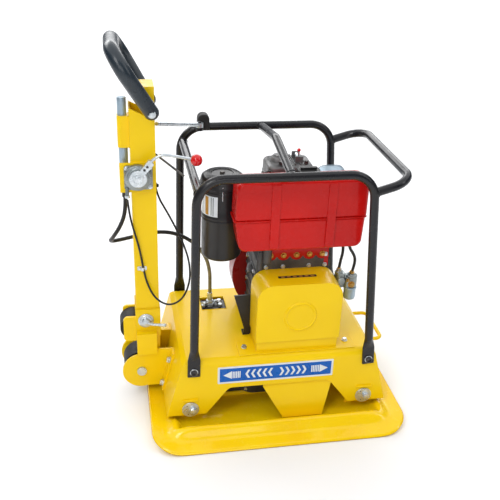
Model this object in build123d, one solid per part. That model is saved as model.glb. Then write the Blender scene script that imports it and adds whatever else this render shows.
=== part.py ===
from build123d import *
import os
from math import cos, pi, radians, sin, sqrt, tan

# Reversible plate compactor, millimetres.
# +X is the forward travel direction, +Y the machine's left, +Z up.
# The origin is the middle of the flat sole of the base plate.

# ---- driving dimensions -------------------------------------------------
PLATE_HALF_LENGTH = 395
PLATE_HALF_WIDTH = 347
PLATE_THICK = 14
PLATE_CORNER = 80
SOLE_FLAT = 290          # half length of the flat part of the sole
LIP_RISE = 26            # how far the sole has risen at each end
RIM_HEIGHT = 50

MOUNT_X = 274            # rubber mounts, measured from the middle
MOUNT_Z = 72
MOUNT_RADIUS = 32
LUG_INNER = 164          # inner and outer faces of the plate's lugs
LUG_OUTER = 178

CONSOLE_HALF_WIDTH = 222
CONSOLE_BOTTOM = 50
DECK_Z = 242
SHEET = 5
SHOULDER = 22            # bend radius along the deck's long edges
LEG_HALF = 346           # half length at the console's feet
WALL_TOP = 299           # half length where the end walls meet the deck
WALL_TOP_Z = 227

CRANK_X = 54
CRANK_Z = 364
EXCITER_X = 54           # the two eccentric shafts lie at plus and minus this
EXCITER_Z = 92
BELT_Y = -150
BELT_WIDTH = 12
BELT_THICK = 11
CLUTCH_BELT_R = 58       # inner radius of the belt on each pulley
EXCITER_BELT_R = 46

HOOP_Y = 225.5
HOOP_TUBE = 12.7
HOOP_TOP = 820
HOOP_REAR_X = -257
HOOP_FRONT_X = 231
HOOP_CORNER = 75
FOOT_REAR_X = -264
FOOT_FRONT_X = 275
FOOT_BOLT_Z = 212

PIVOT_X = -411
PIVOT_Z = 112
PIVOT_R = 9
EAR_INNER = 52
EAR_OUTER = 60

BAR_REAR = -421          # rear and front faces of the tow bar
BAR_FRONT = -351
BAR_HALF_Y = 40
BAR_BOTTOM = 240
BAR_TOP = 1019
BAR_WALL = 4

HANDLE_X = -361
HANDLE_Z = 955
HANDLE_TUBE = 21

ENGINE_X0, ENGINE_X1 = -60, 168
ENGINE_Y0, ENGINE_Y1 = -92, 84
CRANKCASE_TOP = 500
CYLINDER_Y = 5

TANK_X0, TANK_X1 = -142, 240
TANK_Y0, TANK_Y1 = -172, -92
TANK_Z0, TANK_SEAM, TANK_Z1 = 571, 668, 785
CAP_X, CAP_Y = 68, -132

GUARD_X0, GUARD_X1 = -75, 183
GUARD_Y0, GUARD_Y1 = -200, -93.5
GUARD_Z0, GUARD_Z1 = 280, 473

CLEANER_X, CLEANER_Y = -159, -24

THROTTLE_X, THROTTLE_Z = -403, 768
KNOB = (-241, -80, 822)
CLAMP_X, CLAMP_Z = -393, 290
LATCH_X, LATCH_Y, LATCH_Z = -200, 193, 836
UNION_X, UNION_Y = -173, 112

HOSE_D = 12
HOSE_POINTS = [
    (-439, -10, 700), (-439, -9, 648), (-456, 0, 594), (-480, 20, 548), (-492, 62, 514),
    (-458, 100, 500), (-398, 102, 512), (-338, 102, 522), (-280, 101, 512), (-228, 102, 478),
    (-190, 104, 428), (-175, 107, 372), (UNION_X, UNION_Y, 318), (UNION_X, UNION_Y, 262),
]
CABLE_D = 6
CABLE_POINTS = [
    (-434, -56, 700), (-430, -56, 650), (-418, -53, 596), (-405, -48, 540), (-397, -46, 482),
    (-387, -50, 424), (-364, -61, 374), (-322, -73, 352), (-280, -70, 372), (-256, -48, 418),
    (-254, -18, 470), (-270, 6, 522), (-294, 16, 576), (-320, 19, 630), (-344, 16, 676),
    (-351, 8, 716),
]
TANK_HOSE_D = 9
TANK_HOSE_POINTS = [
    (208, -125, 568), (215, -124, 545), (230, -120, 524), (240, -113, 501), (240, -108, 475),
    (236, -105, 450),
]
PUMP_HOSE_D = 9
PUMP_HOSE_POINTS = [
    (194, -116, 568), (198, -115, 543), (198, -112, 518), (195, -108, 494), (194, -105, 470),
]

AXES = {"x": (1, 0, 0), "y": (0, 1, 0), "z": (0, 0, 1)}


# ---- small geometry helpers ---------------------------------------------
def place(axis, u, v, along):
    """A point of the plane normal to an axis: (y, z), (x, z) or (x, y)."""
    if axis == "x":
        return (along, u, v)
    if axis == "y":
        return (u, along, v)
    return (u, v, along)


def prism(axis, outline, low, high, radius=0):
    """A straight extrusion of an outline, whose corners may be rounded."""
    points = [place(axis, u, v, low) for u, v in outline]
    if radius == 0:
        edges = Polyline(*points, close=True)
    else:
        edges = FilletPolyline(*points, radius=radius, close=True)
    return extrude(make_face(edges), amount=high - low, dir=AXES[axis])


def block(x0, x1, y0, y1, z0, z1):
    """A box between two corners."""
    middle = Pos((x0 + x1) / 2, (y0 + y1) / 2, (z0 + z1) / 2)
    return middle * Box(x1 - x0, y1 - y0, z1 - z0)


def disc(axis, u, v, radius, low, high):
    """A cylinder along an axis, from one height on it to another."""
    plane = Plane(origin=place(axis, u, v, low), z_dir=AXES[axis])
    return plane * Cylinder(radius, high - low, align=(Align.CENTER, Align.CENTER, Align.MIN))


def ring(axis, u, v, outer, inner, low, high):
    """A cylinder with a bore."""
    return disc(axis, u, v, outer, low, high) - disc(axis, u, v, inner, low - 1, high + 1)


def bar(start, end, radius):
    """A round bar between two points."""
    run = Vector(*end) - Vector(*start)
    plane = Plane(origin=start, z_dir=run)
    return plane * Cylinder(radius, run.length, align=(Align.CENTER, Align.CENTER, Align.MIN))


def tube(points, radii, radius):
    """A round bar along straight runs joined by tangent arcs."""
    path = FilletPolyline(*points, radius=radii)
    section = Plane(origin=path @ 0, z_dir=path % 0) * Circle(radius)
    return sweep(section, path=path)


def bend_radii(points):
    """The largest arc that fits each corner of a cord's route."""
    radii = []
    for before, corner, after in zip(points, points[1:], points[2:]):
        arriving = Vector(*corner) - Vector(*before)
        leaving = Vector(*after) - Vector(*corner)
        half_turn = radians(arriving.get_angle(leaving)) / 2
        radii.append(0.45 * min(arriving.length, leaving.length) / tan(half_turn))
    return radii


def cord(name, points, diameter):
    """A cord's tube, with its bend radii and its volume checked against its length."""
    radii = bend_radii(points)
    path = FilletPolyline(*points, radius=radii)
    section = Plane(origin=path @ 0, z_dir=path % 0) * Circle(diameter / 2)
    solid = sweep(section, path=path)
    expected = pi * diameter ** 2 / 4 * path.length
    print(name, "length", round(path.length), "radii", [round(r) for r in radii],
          "volume ratio", round(solid.volume / expected, 4))
    return solid


def turned(x, z, profile):
    """A solid turned about a line along Y, from (radius, y) points."""
    face = make_face(Polyline(*[(x + r, y, z) for r, y in profile], close=True))
    return revolve(face, axis=Axis((x, 0, z), (0, 1, 0)))


def mirror_y(shape):
    """The same piece on the other side of the machine."""
    return mirror(shape, about=Plane.XZ)


def solids(*shapes):
    """Separate solids kept together in one sub-part."""
    return Compound([solid for shape in shapes for solid in shape.solids()])


# ---- base plate ---------------------------------------------------------
def sole_curve(offset):
    """Edges of the side view: a flat sole that curves up at both ends."""
    start = -PLATE_HALF_WIDTH - 10
    bend = (PLATE_HALF_LENGTH - SOLE_FLAT) / (2 * LIP_RISE)
    radius = (PLATE_HALF_LENGTH - SOLE_FLAT) * bend + LIP_RISE / 2
    scale = (radius - offset) / radius
    end_x = SOLE_FLAT + (PLATE_HALF_LENGTH - SOLE_FLAT) * scale
    end_z = radius - (radius - LIP_RISE) * scale
    front = TangentArc((SOLE_FLAT, start, offset), (end_x, start, end_z), tangent=(1, 0, 0))
    rear = TangentArc((-SOLE_FLAT, start, offset), (-end_x, start, end_z), tangent=(-1, 0, 0))
    flat = Line((-SOLE_FLAT, start, offset), (SOLE_FLAT, start, offset))
    return [front, rear, flat], (end_x, start, end_z)


def floor_slab():
    """The plate's floor, one thickness all over."""
    lower, lower_end = sole_curve(0)
    upper, upper_end = sole_curve(PLATE_THICK)
    ends = []
    for side in (1, -1):
        low = (side * lower_end[0], lower_end[1], lower_end[2])
        high = (side * upper_end[0], upper_end[1], upper_end[2])
        ends.append(Line(low, high))
    face = make_face(lower + upper + ends)
    return extrude(face, amount=2 * PLATE_HALF_WIDTH + 20, dir=(0, 1, 0))


def above_sole():
    """All the space over the sole's curve, to trim what stands on it."""
    lower, end = sole_curve(0)
    top = 140
    x, y, z = end
    sides = [
        Line((x, y, z), (x, y, top)),
        Line((x, y, top), (-x, y, top)),
        Line((-x, y, top), (-x, y, z)),
    ]
    return extrude(make_face(lower + sides), amount=2 * PLATE_HALF_WIDTH + 20, dir=(0, 1, 0))


def side_rim():
    """A cast rim along one long side: a sloping flange and a raised hump."""
    hump = prism(
        "x",
        [(-PLATE_HALF_WIDTH, 0), (-PLATE_HALF_WIDTH, 9), (-305, 23), (-297, RIM_HEIGHT),
         (-266, RIM_HEIGHT), (-259, 0)],
        -PLATE_HALF_LENGTH, PLATE_HALF_LENGTH,
        radius=[0, 6, 9, 9, 10, 0],
    )
    ends = prism(
        "y",
        [(-372, -1), (-326, RIM_HEIGHT + 1), (326, RIM_HEIGHT + 1), (372, -1)],
        -PLATE_HALF_WIDTH - 5, 0,
    )
    return hump & ends


def mount_lug(x):
    """An upright lug that a rubber mount bolts to."""
    outline = [(x - 44, 8), (x - 36, 78), (x - 22, 108), (x + 22, 108), (x + 36, 78), (x + 44, 8)]
    lug = prism("y", outline, LUG_INNER, LUG_OUTER, radius=[0, 14, 14, 14, 14, 0])
    return lug - disc("y", x, MOUNT_Z, 8, LUG_INNER - 1, LUG_OUTER + 1)


def base_plate():
    """Cast plate with upturned ends, side rims, mount lugs and the exciter's seat."""
    plate = floor_slab() + side_rim() + mirror_y(side_rim())
    for x in (-MOUNT_X, MOUNT_X):
        plate += mount_lug(x) + mirror_y(mount_lug(x))
    plate += block(-158, 158, -96, 136, PLATE_THICK - 2, 26)
    a, b = PLATE_HALF_LENGTH, PLATE_HALF_WIDTH
    plan = prism("z", [(-a, -b), (a, -b), (a, b), (-a, b)], -1, 150, radius=PLATE_CORNER)
    return (plate & above_sole() & plan) - exciter_foot_shanks()


# ---- exciter ------------------------------------------------------------
def barrel(radius, low, high):
    """The exciter's oblong outline round both shafts."""
    body = block(-EXCITER_X, EXCITER_X, low, high, EXCITER_Z - radius, EXCITER_Z + radius)
    for side in (-1, 1):
        body += disc("y", side * EXCITER_X, EXCITER_Z, radius, low, high)
    return body


def foot_bolt_places():
    return [(x, y) for x in (-136, 136) for y in (-60, 20, 100)]


def cover_bolt_places():
    """Three bolts round the outer side of each bore, and two between the bores."""
    places = []
    for side in (-1, 1):
        for angle in (-55, 0, 55):
            u = side * (EXCITER_X + 53 * cos(radians(angle)))
            places.append((u, EXCITER_Z + 53 * sin(radians(angle))))
    return places + [(0, EXCITER_Z - 52), (0, EXCITER_Z + 52)]


def exciter_foot_shanks():
    return solids(*[disc("z", x, y, 8, 9, 44) for x, y in foot_bolt_places()])


def exciter_cover_shanks():
    near = [disc("y", x, z, 3, -112, -94) for x, z in cover_bolt_places()]
    return solids(*near)


def exciter_housing():
    """Oil-tight casting with two bores and a chamber for the timing gears."""
    body = barrel(63, -100, 100) + barrel(65, 98, 140)
    body += block(-155, 155, -90, 130, 26, 44)
    for side in (-1, 1):
        body -= disc("y", side * EXCITER_X, EXCITER_Z, 45, -101, 102)
    body -= barrel(60, 101, 141)
    body -= exciter_foot_shanks()
    return body - exciter_cover_shanks()


def exciter_end_covers():
    """A plate that closes each end; the drive shaft leaves through the near one."""
    near = barrel(63, -112, -100) - disc("y", EXCITER_X, EXCITER_Z, 22, -113, -99)
    return solids(near - exciter_cover_shanks(), barrel(65, 140, 150))


def exciter_bearings():
    """Four roller bearings, drawn as plain rings."""
    rings = []
    for side in (-1, 1):
        for low in (-98, 77):
            rings.append(ring("y", side * EXCITER_X, EXCITER_Z, 45, 20.05, low, low + 23))
    return solids(*rings)


def exciter_bolts():
    """Foot bolts and the near cover's bolts."""
    bolts = []
    for x, y in foot_bolt_places():
        bolts.append(disc("z", x, y, 8, 9, 44) + disc("z", x, y, 13, 44, 54))
    for x, z in cover_bolt_places():
        bolts.append(disc("y", x, z, 3, -112, -94) + disc("y", x, z, 5.5, -117, -112))
    return solids(*bolts)


def eccentric_shaft(x, near_end):
    """A shaft with a half-round weight between its bearings."""
    shaft = disc("y", x, EXCITER_Z, 20, -99, 101) + disc("y", x, EXCITER_Z, 18, 101, 134)
    if near_end < -99:
        shaft += disc("y", x, EXCITER_Z, 17, near_end, -99)
    weight = disc("y", x, EXCITER_Z, 40, -66, 68) & block(x - 41, x + 41, -67, 69, 50, EXCITER_Z)
    return shaft + weight


def timing_gear(x, start_angle):
    """A spur gear of 24 coarse teeth, with backlash."""
    teeth = 24
    root, tip = 49.5, 57.5
    gear = disc("y", x, EXCITER_Z, root, 106, 130)
    for number in range(teeth):
        angle = start_angle + 360 / teeth * number
        tooth = prism("y", [(root - 2, -3.9), (root - 2, 3.9), (54, 2.7), (tip, 1.4),
                            (tip, -1.4), (54, -2.7)], 106, 130)
        gear += Pos(x, 0, EXCITER_Z) * Rot(0, angle, 0) * tooth
    return gear - disc("y", x, EXCITER_Z, 18, 105, 131)


def drive_eccentric_shaft():
    return eccentric_shaft(EXCITER_X, -168)


def driven_eccentric_shaft():
    return eccentric_shaft(-EXCITER_X, -99)


def drive_timing_gear():
    return timing_gear(EXCITER_X, 0)


def driven_timing_gear():
    return timing_gear(-EXCITER_X, 7.5)


def grooved(bore, outer, floor, near, far):
    """Half section of a rim with a V-groove centred on the belt."""
    return [
        (bore, near), (outer, near), (outer, BELT_Y - 11), (floor, BELT_Y - 6.5),
        (floor, BELT_Y + 6.5), (outer, BELT_Y + 11), (outer, far), (bore, far),
    ]


def exciter_pulley():
    return turned(EXCITER_X, EXCITER_Z, grooved(17, 57, EXCITER_BELT_R - 0.5, -167, -133))


def clutch_drum():
    """The belt pulley whose hollow rim is the clutch's drum."""
    outer, floor = 70, CLUTCH_BELT_R - 0.5
    profile = [
        (15.05, -170), (outer, -170), (outer, BELT_Y - 11), (floor, BELT_Y - 6.5),
        (floor, BELT_Y + 6.5), (outer, BELT_Y + 11), (outer, -128), (52, -128),
        (52, -164), (15.05, -164),
    ]
    return turned(CRANK_X, CRANK_Z, profile)


def clutch_hub():
    """The hub on the crankshaft with its two centrifugal shoes."""
    hub = ring("y", CRANK_X, CRANK_Z, 22, 15, -160, -126)
    hub += ring("y", CRANK_X, CRANK_Z, 46, 15, -131, -126)
    shoe_ring = ring("y", CRANK_X, CRANK_Z, 50, 26, -158, -131)
    gap = block(CRANK_X - 6, CRANK_X + 6, -160, -130, CRANK_Z - 55, CRANK_Z + 55)
    return solids(hub, shoe_ring - gap)


def belt_fill(top_radius, bottom_radius, half_width):
    """Everything inside a loop pulled tight round both pulleys."""
    reach = CRANK_Z - EXCITER_Z
    lean = -(top_radius - bottom_radius) / reach
    across = sqrt(1 - lean ** 2)
    outline = [
        (CRANK_X - top_radius * across, CRANK_Z + top_radius * lean),
        (CRANK_X + top_radius * across, CRANK_Z + top_radius * lean),
        (EXCITER_X + bottom_radius * across, EXCITER_Z + bottom_radius * lean),
        (EXCITER_X - bottom_radius * across, EXCITER_Z + bottom_radius * lean),
    ]
    low, high = BELT_Y - half_width, BELT_Y + half_width
    fill = prism("y", outline, low, high)
    fill += disc("y", CRANK_X, CRANK_Z, top_radius, low, high)
    return fill + disc("y", EXCITER_X, EXCITER_Z, bottom_radius, low, high)


def v_belt():
    outer = belt_fill(CLUTCH_BELT_R + BELT_THICK, EXCITER_BELT_R + BELT_THICK, BELT_WIDTH / 2)
    return outer - belt_fill(CLUTCH_BELT_R, EXCITER_BELT_R, BELT_WIDTH)


# ---- console ------------------------------------------------------------
def wall_x(z):
    """Outer face of the sloping end walls at a height."""
    share = (z - CONSOLE_BOTTOM) / (WALL_TOP_Z - CONSOLE_BOTTOM)
    return LEG_HALF + (WALL_TOP - LEG_HALF) * share


def console_form(inset):
    """The hipped outer form, or the space inside it."""
    top = DECK_Z - inset
    low = CONSOLE_BOTTOM - (1 if inset else 0)
    a = wall_x(low) - inset
    b = WALL_TOP - inset
    c = WALL_TOP - 15 - inset / 2
    side_view = prism(
        "y",
        [(-a, low), (-b, WALL_TOP_Z - inset / 2), (-c, top), (c, top),
         (b, WALL_TOP_Z - inset / 2), (a, low)],
        -CONSOLE_HALF_WIDTH, CONSOLE_HALF_WIDTH,
    )
    w = CONSOLE_HALF_WIDTH - inset
    bend = SHOULDER - inset
    end_view = prism("x", [(-w, 0), (-w, top), (w, top), (w, 0)], -400, 400,
                     radius=[0, bend, bend, 0])
    return side_view & end_view


def console_frame():
    """Folded deck with arched side plates, end walls and slots for belt and hose."""
    frame = console_form(0) - console_form(SHEET)
    frame -= prism("y", [(-233, 40), (-156, 141), (156, 141), (233, 40)], -300, 300,
                   radius=[0, 25, 25, 0])
    frame -= block(-24, 132, -174, -126, 220, 260)
    frame -= block(-204, -122, 72, 150, 220, 260)
    return frame - console_holes()


def mount_bolt_places():
    return [(x, side) for x in (-MOUNT_X, MOUNT_X) for side in (-1, 1)]


def console_holes():
    """A drill for every bolt that goes through the console's sheet."""
    drills = []
    for x, side in mount_bolt_places():
        drills.append(disc("y", x, MOUNT_Z, 7, *sorted((side * 214, side * 225))))
    for x in (FOOT_REAR_X, FOOT_FRONT_X):
        for side in (-1, 1):
            drills.append(disc("y", x, FOOT_BOLT_Z, 6, *sorted((side * 210, side * 225))))
    for y in (-76, 76):
        for z in (155, 70):
            drills.append(wall_bolt(y, z, 5, -SHEET - 4, 3))
    return solids(*drills)


def wall_bolt(y, z, radius, inside, outside):
    """A short cylinder square to the rear wall, between two depths from its face."""
    slope = Vector(LEG_HALF - WALL_TOP, 0, WALL_TOP_Z - CONSOLE_BOTTOM).normalized()
    out = Vector(-slope.Z, 0, slope.X)
    face = Vector(-wall_x(z), y, z)
    start = face + out * inside
    end = face + out * outside
    return bar((start.X, start.Y, start.Z), (end.X, end.Y, end.Z), radius)


def console_bolts():
    """Mount bolts with their big washers, hoop, hinge and guard bolts."""
    bolts = []
    for x, side in mount_bolt_places():
        low, high = sorted((side * 217, side * 222))
        bolt = disc("y", x, MOUNT_Z, 7, low, high)
        low, high = sorted((side * 222, side * 226))
        bolt += disc("y", x, MOUNT_Z, 26, low, high)
        low, high = sorted((side * 226, side * 236))
        bolt += disc("y", x, MOUNT_Z, 11, low, high)
        bolts.append(bolt)
    for x in (FOOT_REAR_X, FOOT_FRONT_X):
        for side in (-1, 1):
            low, high = sorted((side * 212, side * 229))
            bolt = disc("y", x, FOOT_BOLT_Z, 6, low, high)
            low, high = sorted((side * 229, side * 238))
            bolts.append(bolt + disc("y", x, FOOT_BOLT_Z, 12, low, high))
    for y in (-76, 76):
        for z in (155, 70):
            bolts.append(wall_bolt(y, z, 5, -SHEET - 1, 6) + wall_bolt(y, z, 11, 6, 14))
    for x in (-104, 214):
        bolts.append(disc("z", x, -165, 9, 245, 252))
    return solids(*bolts)


def rubber_mounts():
    """Four shear mounts between the console's legs and the plate's lugs."""
    mounts = []
    for x in (-MOUNT_X, MOUNT_X):
        mount = disc("y", x, MOUNT_Z, MOUNT_RADIUS, LUG_OUTER, 217)
        mount += disc("y", x, MOUNT_Z, 8, LUG_INNER, LUG_OUTER)
        mounts += [mount, mirror_y(mount)]
    return solids(*mounts)


def lower_belt_guard():
    """Trapezoid plate that hangs in the arch and leans out towards its foot."""
    sheet = prism(
        "x",
        [(-214, 200), (-217, 200), (-217, 130), (-239, 22), (-236, 21), (-214, 129)],
        -60, 180,
    )
    front_view = prism(
        "y",
        [(-50, 201), (167, 201), (167, 130), (138, 20), (14, 20), (-50, 130)],
        -260, -200,
        radius=[0, 0, 0, 6, 6, 0],
    )
    return sheet & front_view


def tie_down_eye():
    """A bent rod welded to the front wall, to lash the machine down."""
    x = wall_x(184)
    rod = tube([(x - 1, -80, 184), (371, -80, 184), (371, 80, 184), (x - 1, 80, 184)],
               [20, 20], 6)
    return (rod - console_form(0)).solids()[0]


def direction_plate():
    """The flat sign on the near side plate."""
    return prism("y", [(-192, 158), (166, 158), (166, 218), (-192, 218)], -223.2, -222,
                 radius=3)


# ---- upper belt guard ---------------------------------------------------
def guard_form(inset, low):
    outline = [
        (GUARD_X0 + inset, low), (GUARD_X0 + inset, GUARD_Z1 - inset),
        (GUARD_X1 - inset, GUARD_Z1 - inset), (GUARD_X1 - inset, low),
    ]
    corner = 48 - inset
    return outline, [0, corner, corner, 0]


def belt_guard():
    """Deep cover over the clutch, on a recessed skirt with a foot flange."""
    outline, corners = guard_form(0, GUARD_Z0)
    cover = prism("y", outline, GUARD_Y0, GUARD_Y1, radius=corners)
    skirt = block(GUARD_X0 + 4, GUARD_X1 - 4, GUARD_Y0 + 6, GUARD_Y1, DECK_Z, GUARD_Z0 + 1)
    outline, corners = guard_form(3, GUARD_Z0)
    hollow = prism("y", outline, GUARD_Y0 + 3, GUARD_Y1 + 1, radius=corners)
    hollow += block(GUARD_X0 + 7, GUARD_X1 - 7, GUARD_Y0 + 9, GUARD_Y1 + 1, 200, GUARD_Z0 + 2)
    flange = block(-124, 236, -206, -128, DECK_Z, DECK_Z + 3)
    boss = disc("y", CRANK_X + 3, CRANK_Z, 48, GUARD_Y0 - 2, GUARD_Y0)
    return (cover + skirt + flange - hollow) + boss


# ---- engine -------------------------------------------------------------
def crankcase():
    """Crankcase with a taller gear-case wall on the belt side."""
    case = prism("z", [(ENGINE_X0, ENGINE_Y0), (ENGINE_X1, ENGINE_Y0), (ENGINE_X1, ENGINE_Y1),
                       (ENGINE_X0, ENGINE_Y1)], 254, CRANKCASE_TOP, radius=[4, 4, 20, 20])
    case += block(-75, 183, -80, 80, DECK_Z, 262)
    case += prism("y", [(-46, 400), (-46, 570), (164, 570), (164, 400)], ENGINE_Y0, -62,
                  radius=[0, 26, 26, 0])
    case -= disc("y", CRANK_X, CRANK_Z, 88, -70, 70)
    case -= disc("z", CRANK_X, CYLINDER_Y, 43, CRANK_Z, CRANKCASE_TOP + 1)
    return case - disc("y", CRANK_X, CRANK_Z, 15.05, -100, 100)


def crankshaft():
    """Output shaft, crank webs and crank pin, in one forging."""
    shaft = disc("y", CRANK_X, CRANK_Z, 15, -176, -13) + disc("y", CRANK_X, CRANK_Z, 15, 23, 128)
    shaft += disc("y", CRANK_X, CRANK_Z + 35, 14, -25, 35)
    outline = [(CRANK_X - 30, CRANK_Z - 62), (CRANK_X + 30, CRANK_Z - 62),
               (CRANK_X + 18, CRANK_Z + 52), (CRANK_X - 18, CRANK_Z + 52)]
    for low in (-25, 23):
        shaft += prism("y", outline, low, low + 12, radius=10)
    return shaft


def flywheel():
    """Flywheel with fan vanes on its outer face."""
    wheel = ring("y", CRANK_X, CRANK_Z, 108, 15, 98, 116)
    wheel += ring("y", CRANK_X, CRANK_Z, 26, 15, 88, 98)
    for number in range(14):
        vane = block(60, 104, 116, 132, -1.5, 1.5)
        wheel += Pos(CRANK_X, 0, CRANK_Z) * Rot(0, 360 / 14 * number, 0) * vane
    return wheel


def shroud_form(inset, low, high):
    round_part = disc("y", CRANK_X, CRANK_Z, 158 - inset, low, high)
    duct = prism("y", [(-48 + inset, 364), (-48 + inset, 640 - inset), (136 - inset, 640 - inset),
                       (136 - inset, 364)], low, high, radius=[0, 20, 20, 0])
    return (round_part + duct) & block(-200, 300, low, high, 246 + inset, 700)


def fan_shroud():
    """Sheet housing round the fan, with a duct up to the cylinder."""
    shell = shroud_form(0, 84, 150) - shroud_form(3, 87, 147)
    shell -= disc("y", CRANK_X, CRANK_Z, 60, 83, 88) + block(-34, 122, 83, 88, 506, 624)
    return shell - disc("y", CRANK_X, CRANK_Z, 72, 140, 155)


def recoil_starter():
    """Round recoil housing with a rope guide on its rim."""
    case = disc("y", CRANK_X, CRANK_Z, 95, 150, 182) - disc("y", CRANK_X, CRANK_Z, 91, 149, 178)
    for number in range(12):
        slot = block(46, 80, 170, 190, -4, 4)
        case -= Pos(CRANK_X, 0, CRANK_Z) * Rot(0, 30 * number + 15, 0) * slot
    return case + block(104, 132, 152, 186, 424, 456)


def recoil_grip():
    return bar((90, 198, 462), (146, 198, 418), 11)


def cylinder_block():
    """Finned cylinder barrel."""
    body = block(6, 102, -43, 53, CRANKCASE_TOP, 650)
    for number in range(8):
        low = 510 + 17 * number
        body += block(-6, 114, -54, 64, low, low + 5)
    return body - disc("z", CRANK_X, CYLINDER_Y, 43, 490, 651)


def cylinder_head():
    body = block(2, 106, -45, 55, 650, 722)
    for number in range(4):
        low = 658 + 15 * number
        body += block(-6, 114, -52, 62, low, low + 4)
    return body


def rocker_cover():
    """Cast cover with a round breather boss."""
    cover = prism("z", [(-26, -38), (112, -38), (112, 66), (-26, 66)], 722, 786, radius=22)
    cover = fillet(cover.faces().sort_by(Axis.Z)[-1].edges(), 12)
    return cover + disc("z", 12, 12, 20, 780, 800) - block(10, 98, -26, 54, 721, 774)


def decompression_lever():
    """Small lever on the rocker cover that opens the exhaust valve to start."""
    lever = bar((70, -10, 792.5), (70, 30, 792.5), 5.5)
    lever += bar((70, -4, 792.5), (70, -4, 812), 4)
    return lever + Pos(70, -4, 816) * Sphere(5.5)


def fuel_tank():
    """Two pressed halves with a seam, two ribs, and the bracket that carries them."""
    lower = prism("y", [(TANK_X0, TANK_SEAM), (-128, TANK_Z0), (233, TANK_Z0), (238, TANK_SEAM)],
                  TANK_Y0 + 3, TANK_Y1 - 3, radius=[0, 22, 22, 0])
    upper = prism("y", [(TANK_X0, TANK_SEAM), (-138, TANK_Z1), (TANK_X1, TANK_Z1),
                        (TANK_X1, TANK_SEAM)], TANK_Y0, TANK_Y1, radius=[0, 22, 22, 0])
    seam = prism("z", [(-147, TANK_Y0 - 2), (243, TANK_Y0 - 2), (243, TANK_Y1 + 2),
                       (-147, TANK_Y1 + 2)], TANK_SEAM - 3, TANK_SEAM + 2, radius=12)
    ribs = block(-42, -16, TANK_Y0 - 4, TANK_Y0 + 1, TANK_Z0 + 2, TANK_Z1 - 4)
    ribs += block(121, 147, TANK_Y0 - 4, TANK_Y0 + 1, TANK_Z0 + 2, TANK_Z1 - 4)
    neck = disc("z", CAP_X, CAP_Y, 27, TANK_Z1 - 1, TANK_Z1 + 4)
    spigots = disc("z", 208, -125, 5, 568, TANK_Z0 + 2) + disc("z", 194, -116, 5, 568, TANK_Z0 + 2)
    hollow = block(-115, 220, TANK_Y0 + 8, TANK_Y1 - 8, TANK_Z0 + 6, TANK_Z1 - 4)
    filler = disc("z", CAP_X, CAP_Y, 22, TANK_Z1 - 10, TANK_Z1 + 5)
    tank = lower + upper + seam + ribs + neck + spigots - hollow - filler
    bracket = block(-40, 160, -96, ENGINE_Y0, 500, TANK_Z0)
    bracket += block(-40, 160, -150, ENGINE_Y0, TANK_Z0 - 3, TANK_Z0)
    bracket += block(146, 160, -96, ENGINE_Y0, 476, 501)
    return solids(tank, bracket)


def fuel_cap():
    cap = disc("z", CAP_X, CAP_Y, 34, TANK_Z1 + 4.3, TANK_Z1 + 20)
    return cap + block(CAP_X - 24, CAP_X + 24, CAP_Y - 6, CAP_Y + 6, TANK_Z1 + 19, TANK_Z1 + 27)


def air_cleaner_body():
    """Steel bowl with an elbow to the inlet port."""
    bowl = disc("z", CLEANER_X, CLEANER_Y, 60, 497, 725)
    bowl = fillet(bowl.faces().sort_by(Axis.Z)[0].edges(), 8)
    bowl += ring("z", CLEANER_X, CLEANER_Y, 61.5, 40, 598, 604)
    bowl += bar((-140, -22, 688), (-6, -12, 688), 17)
    bowl -= disc("z", CLEANER_X, CLEANER_Y, 58, 500, 726)
    return bowl & block(-300, -6, -100, 50, 400, 800)


def air_cleaner_lid():
    lid = disc("z", CLEANER_X, CLEANER_Y, 66, 725, 762)
    return fillet(lid.faces().sort_by(Axis.Z)[-1].edges(), 14)


def muffler():
    """Silencer box with its inlet stub and tail pipe."""
    box = prism("y", [(156, 630), (250, 630), (250, 726), (156, 726)], 0, 100, radius=28)
    box += bar((114, 22, 680), (164, 22, 680), 16)
    return box + bar((206, 98, 682), (206, 136, 682), 13)


def engine_brackets():
    """Two gusset plates that tie the engine to the deck."""
    left = prism("y", [(-126, 384), (ENGINE_X0, 386), (ENGINE_X0, 262), (-76, DECK_Z),
                       (-96, DECK_Z), (-92, 264)], -92, -86)
    left += block(-96, -76, -92, -66, DECK_Z, DECK_Z + 6)
    right = prism("y", [(ENGINE_X1, 384), (192, 376), (192, 242), (ENGINE_X1, 262)], -92, -86)
    right += block(184, 212, -92, -62, DECK_Z, DECK_Z + 6)
    return solids(left, right)


def fuel_filter():
    """Fuel pump body and the filter with its bowl, on the crankcase."""
    body = block(185, 254, -118, -82, 402, 444)
    body += block(ENGINE_X1, 186, -92, -82, 408, 440)
    body += disc("z", 236, -105, 8, 440, 450) + disc("z", 194, -105, 8, 440, 470)
    body += disc("z", 235, -105, 19, 360, 404)
    return body + bar((206, -118, 424), (206, -126, 424), 12)


# ---- protective frame ---------------------------------------------------
def post_foot(top, bottom_x):
    """The flattened lower end of a post, with its blend up to the round tube."""
    bolt = Vector(bottom_x, top[1], FOOT_BOLT_Z)
    up = (Vector(*top) - bolt).normalized()
    across = Vector(up.Z, 0, -up.X)
    start = bolt + up * 74
    blend_end = bolt + up * 40
    round_end = Plane(origin=start, x_dir=across, z_dir=up) * Circle(HOOP_TUBE)
    flat = RectangleRounded(38, 7, 3)
    flat_end = Plane(origin=blend_end, x_dir=across, z_dir=up) * flat
    blend = loft([flat_end, round_end])
    tang = extrude(flat_end, amount=-57, dir=up)
    return blend + tang, start


def hoop_route(side):
    """Corner points of a hoop's tube, from one foot to the other."""
    y = side * HOOP_Y
    return [(FOOT_REAR_X + 0.8, y, 290), (HOOP_REAR_X, y, HOOP_TOP), (HOOP_FRONT_X, y, HOOP_TOP),
            (FOOT_FRONT_X - 5.4, y, 290)]


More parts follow.
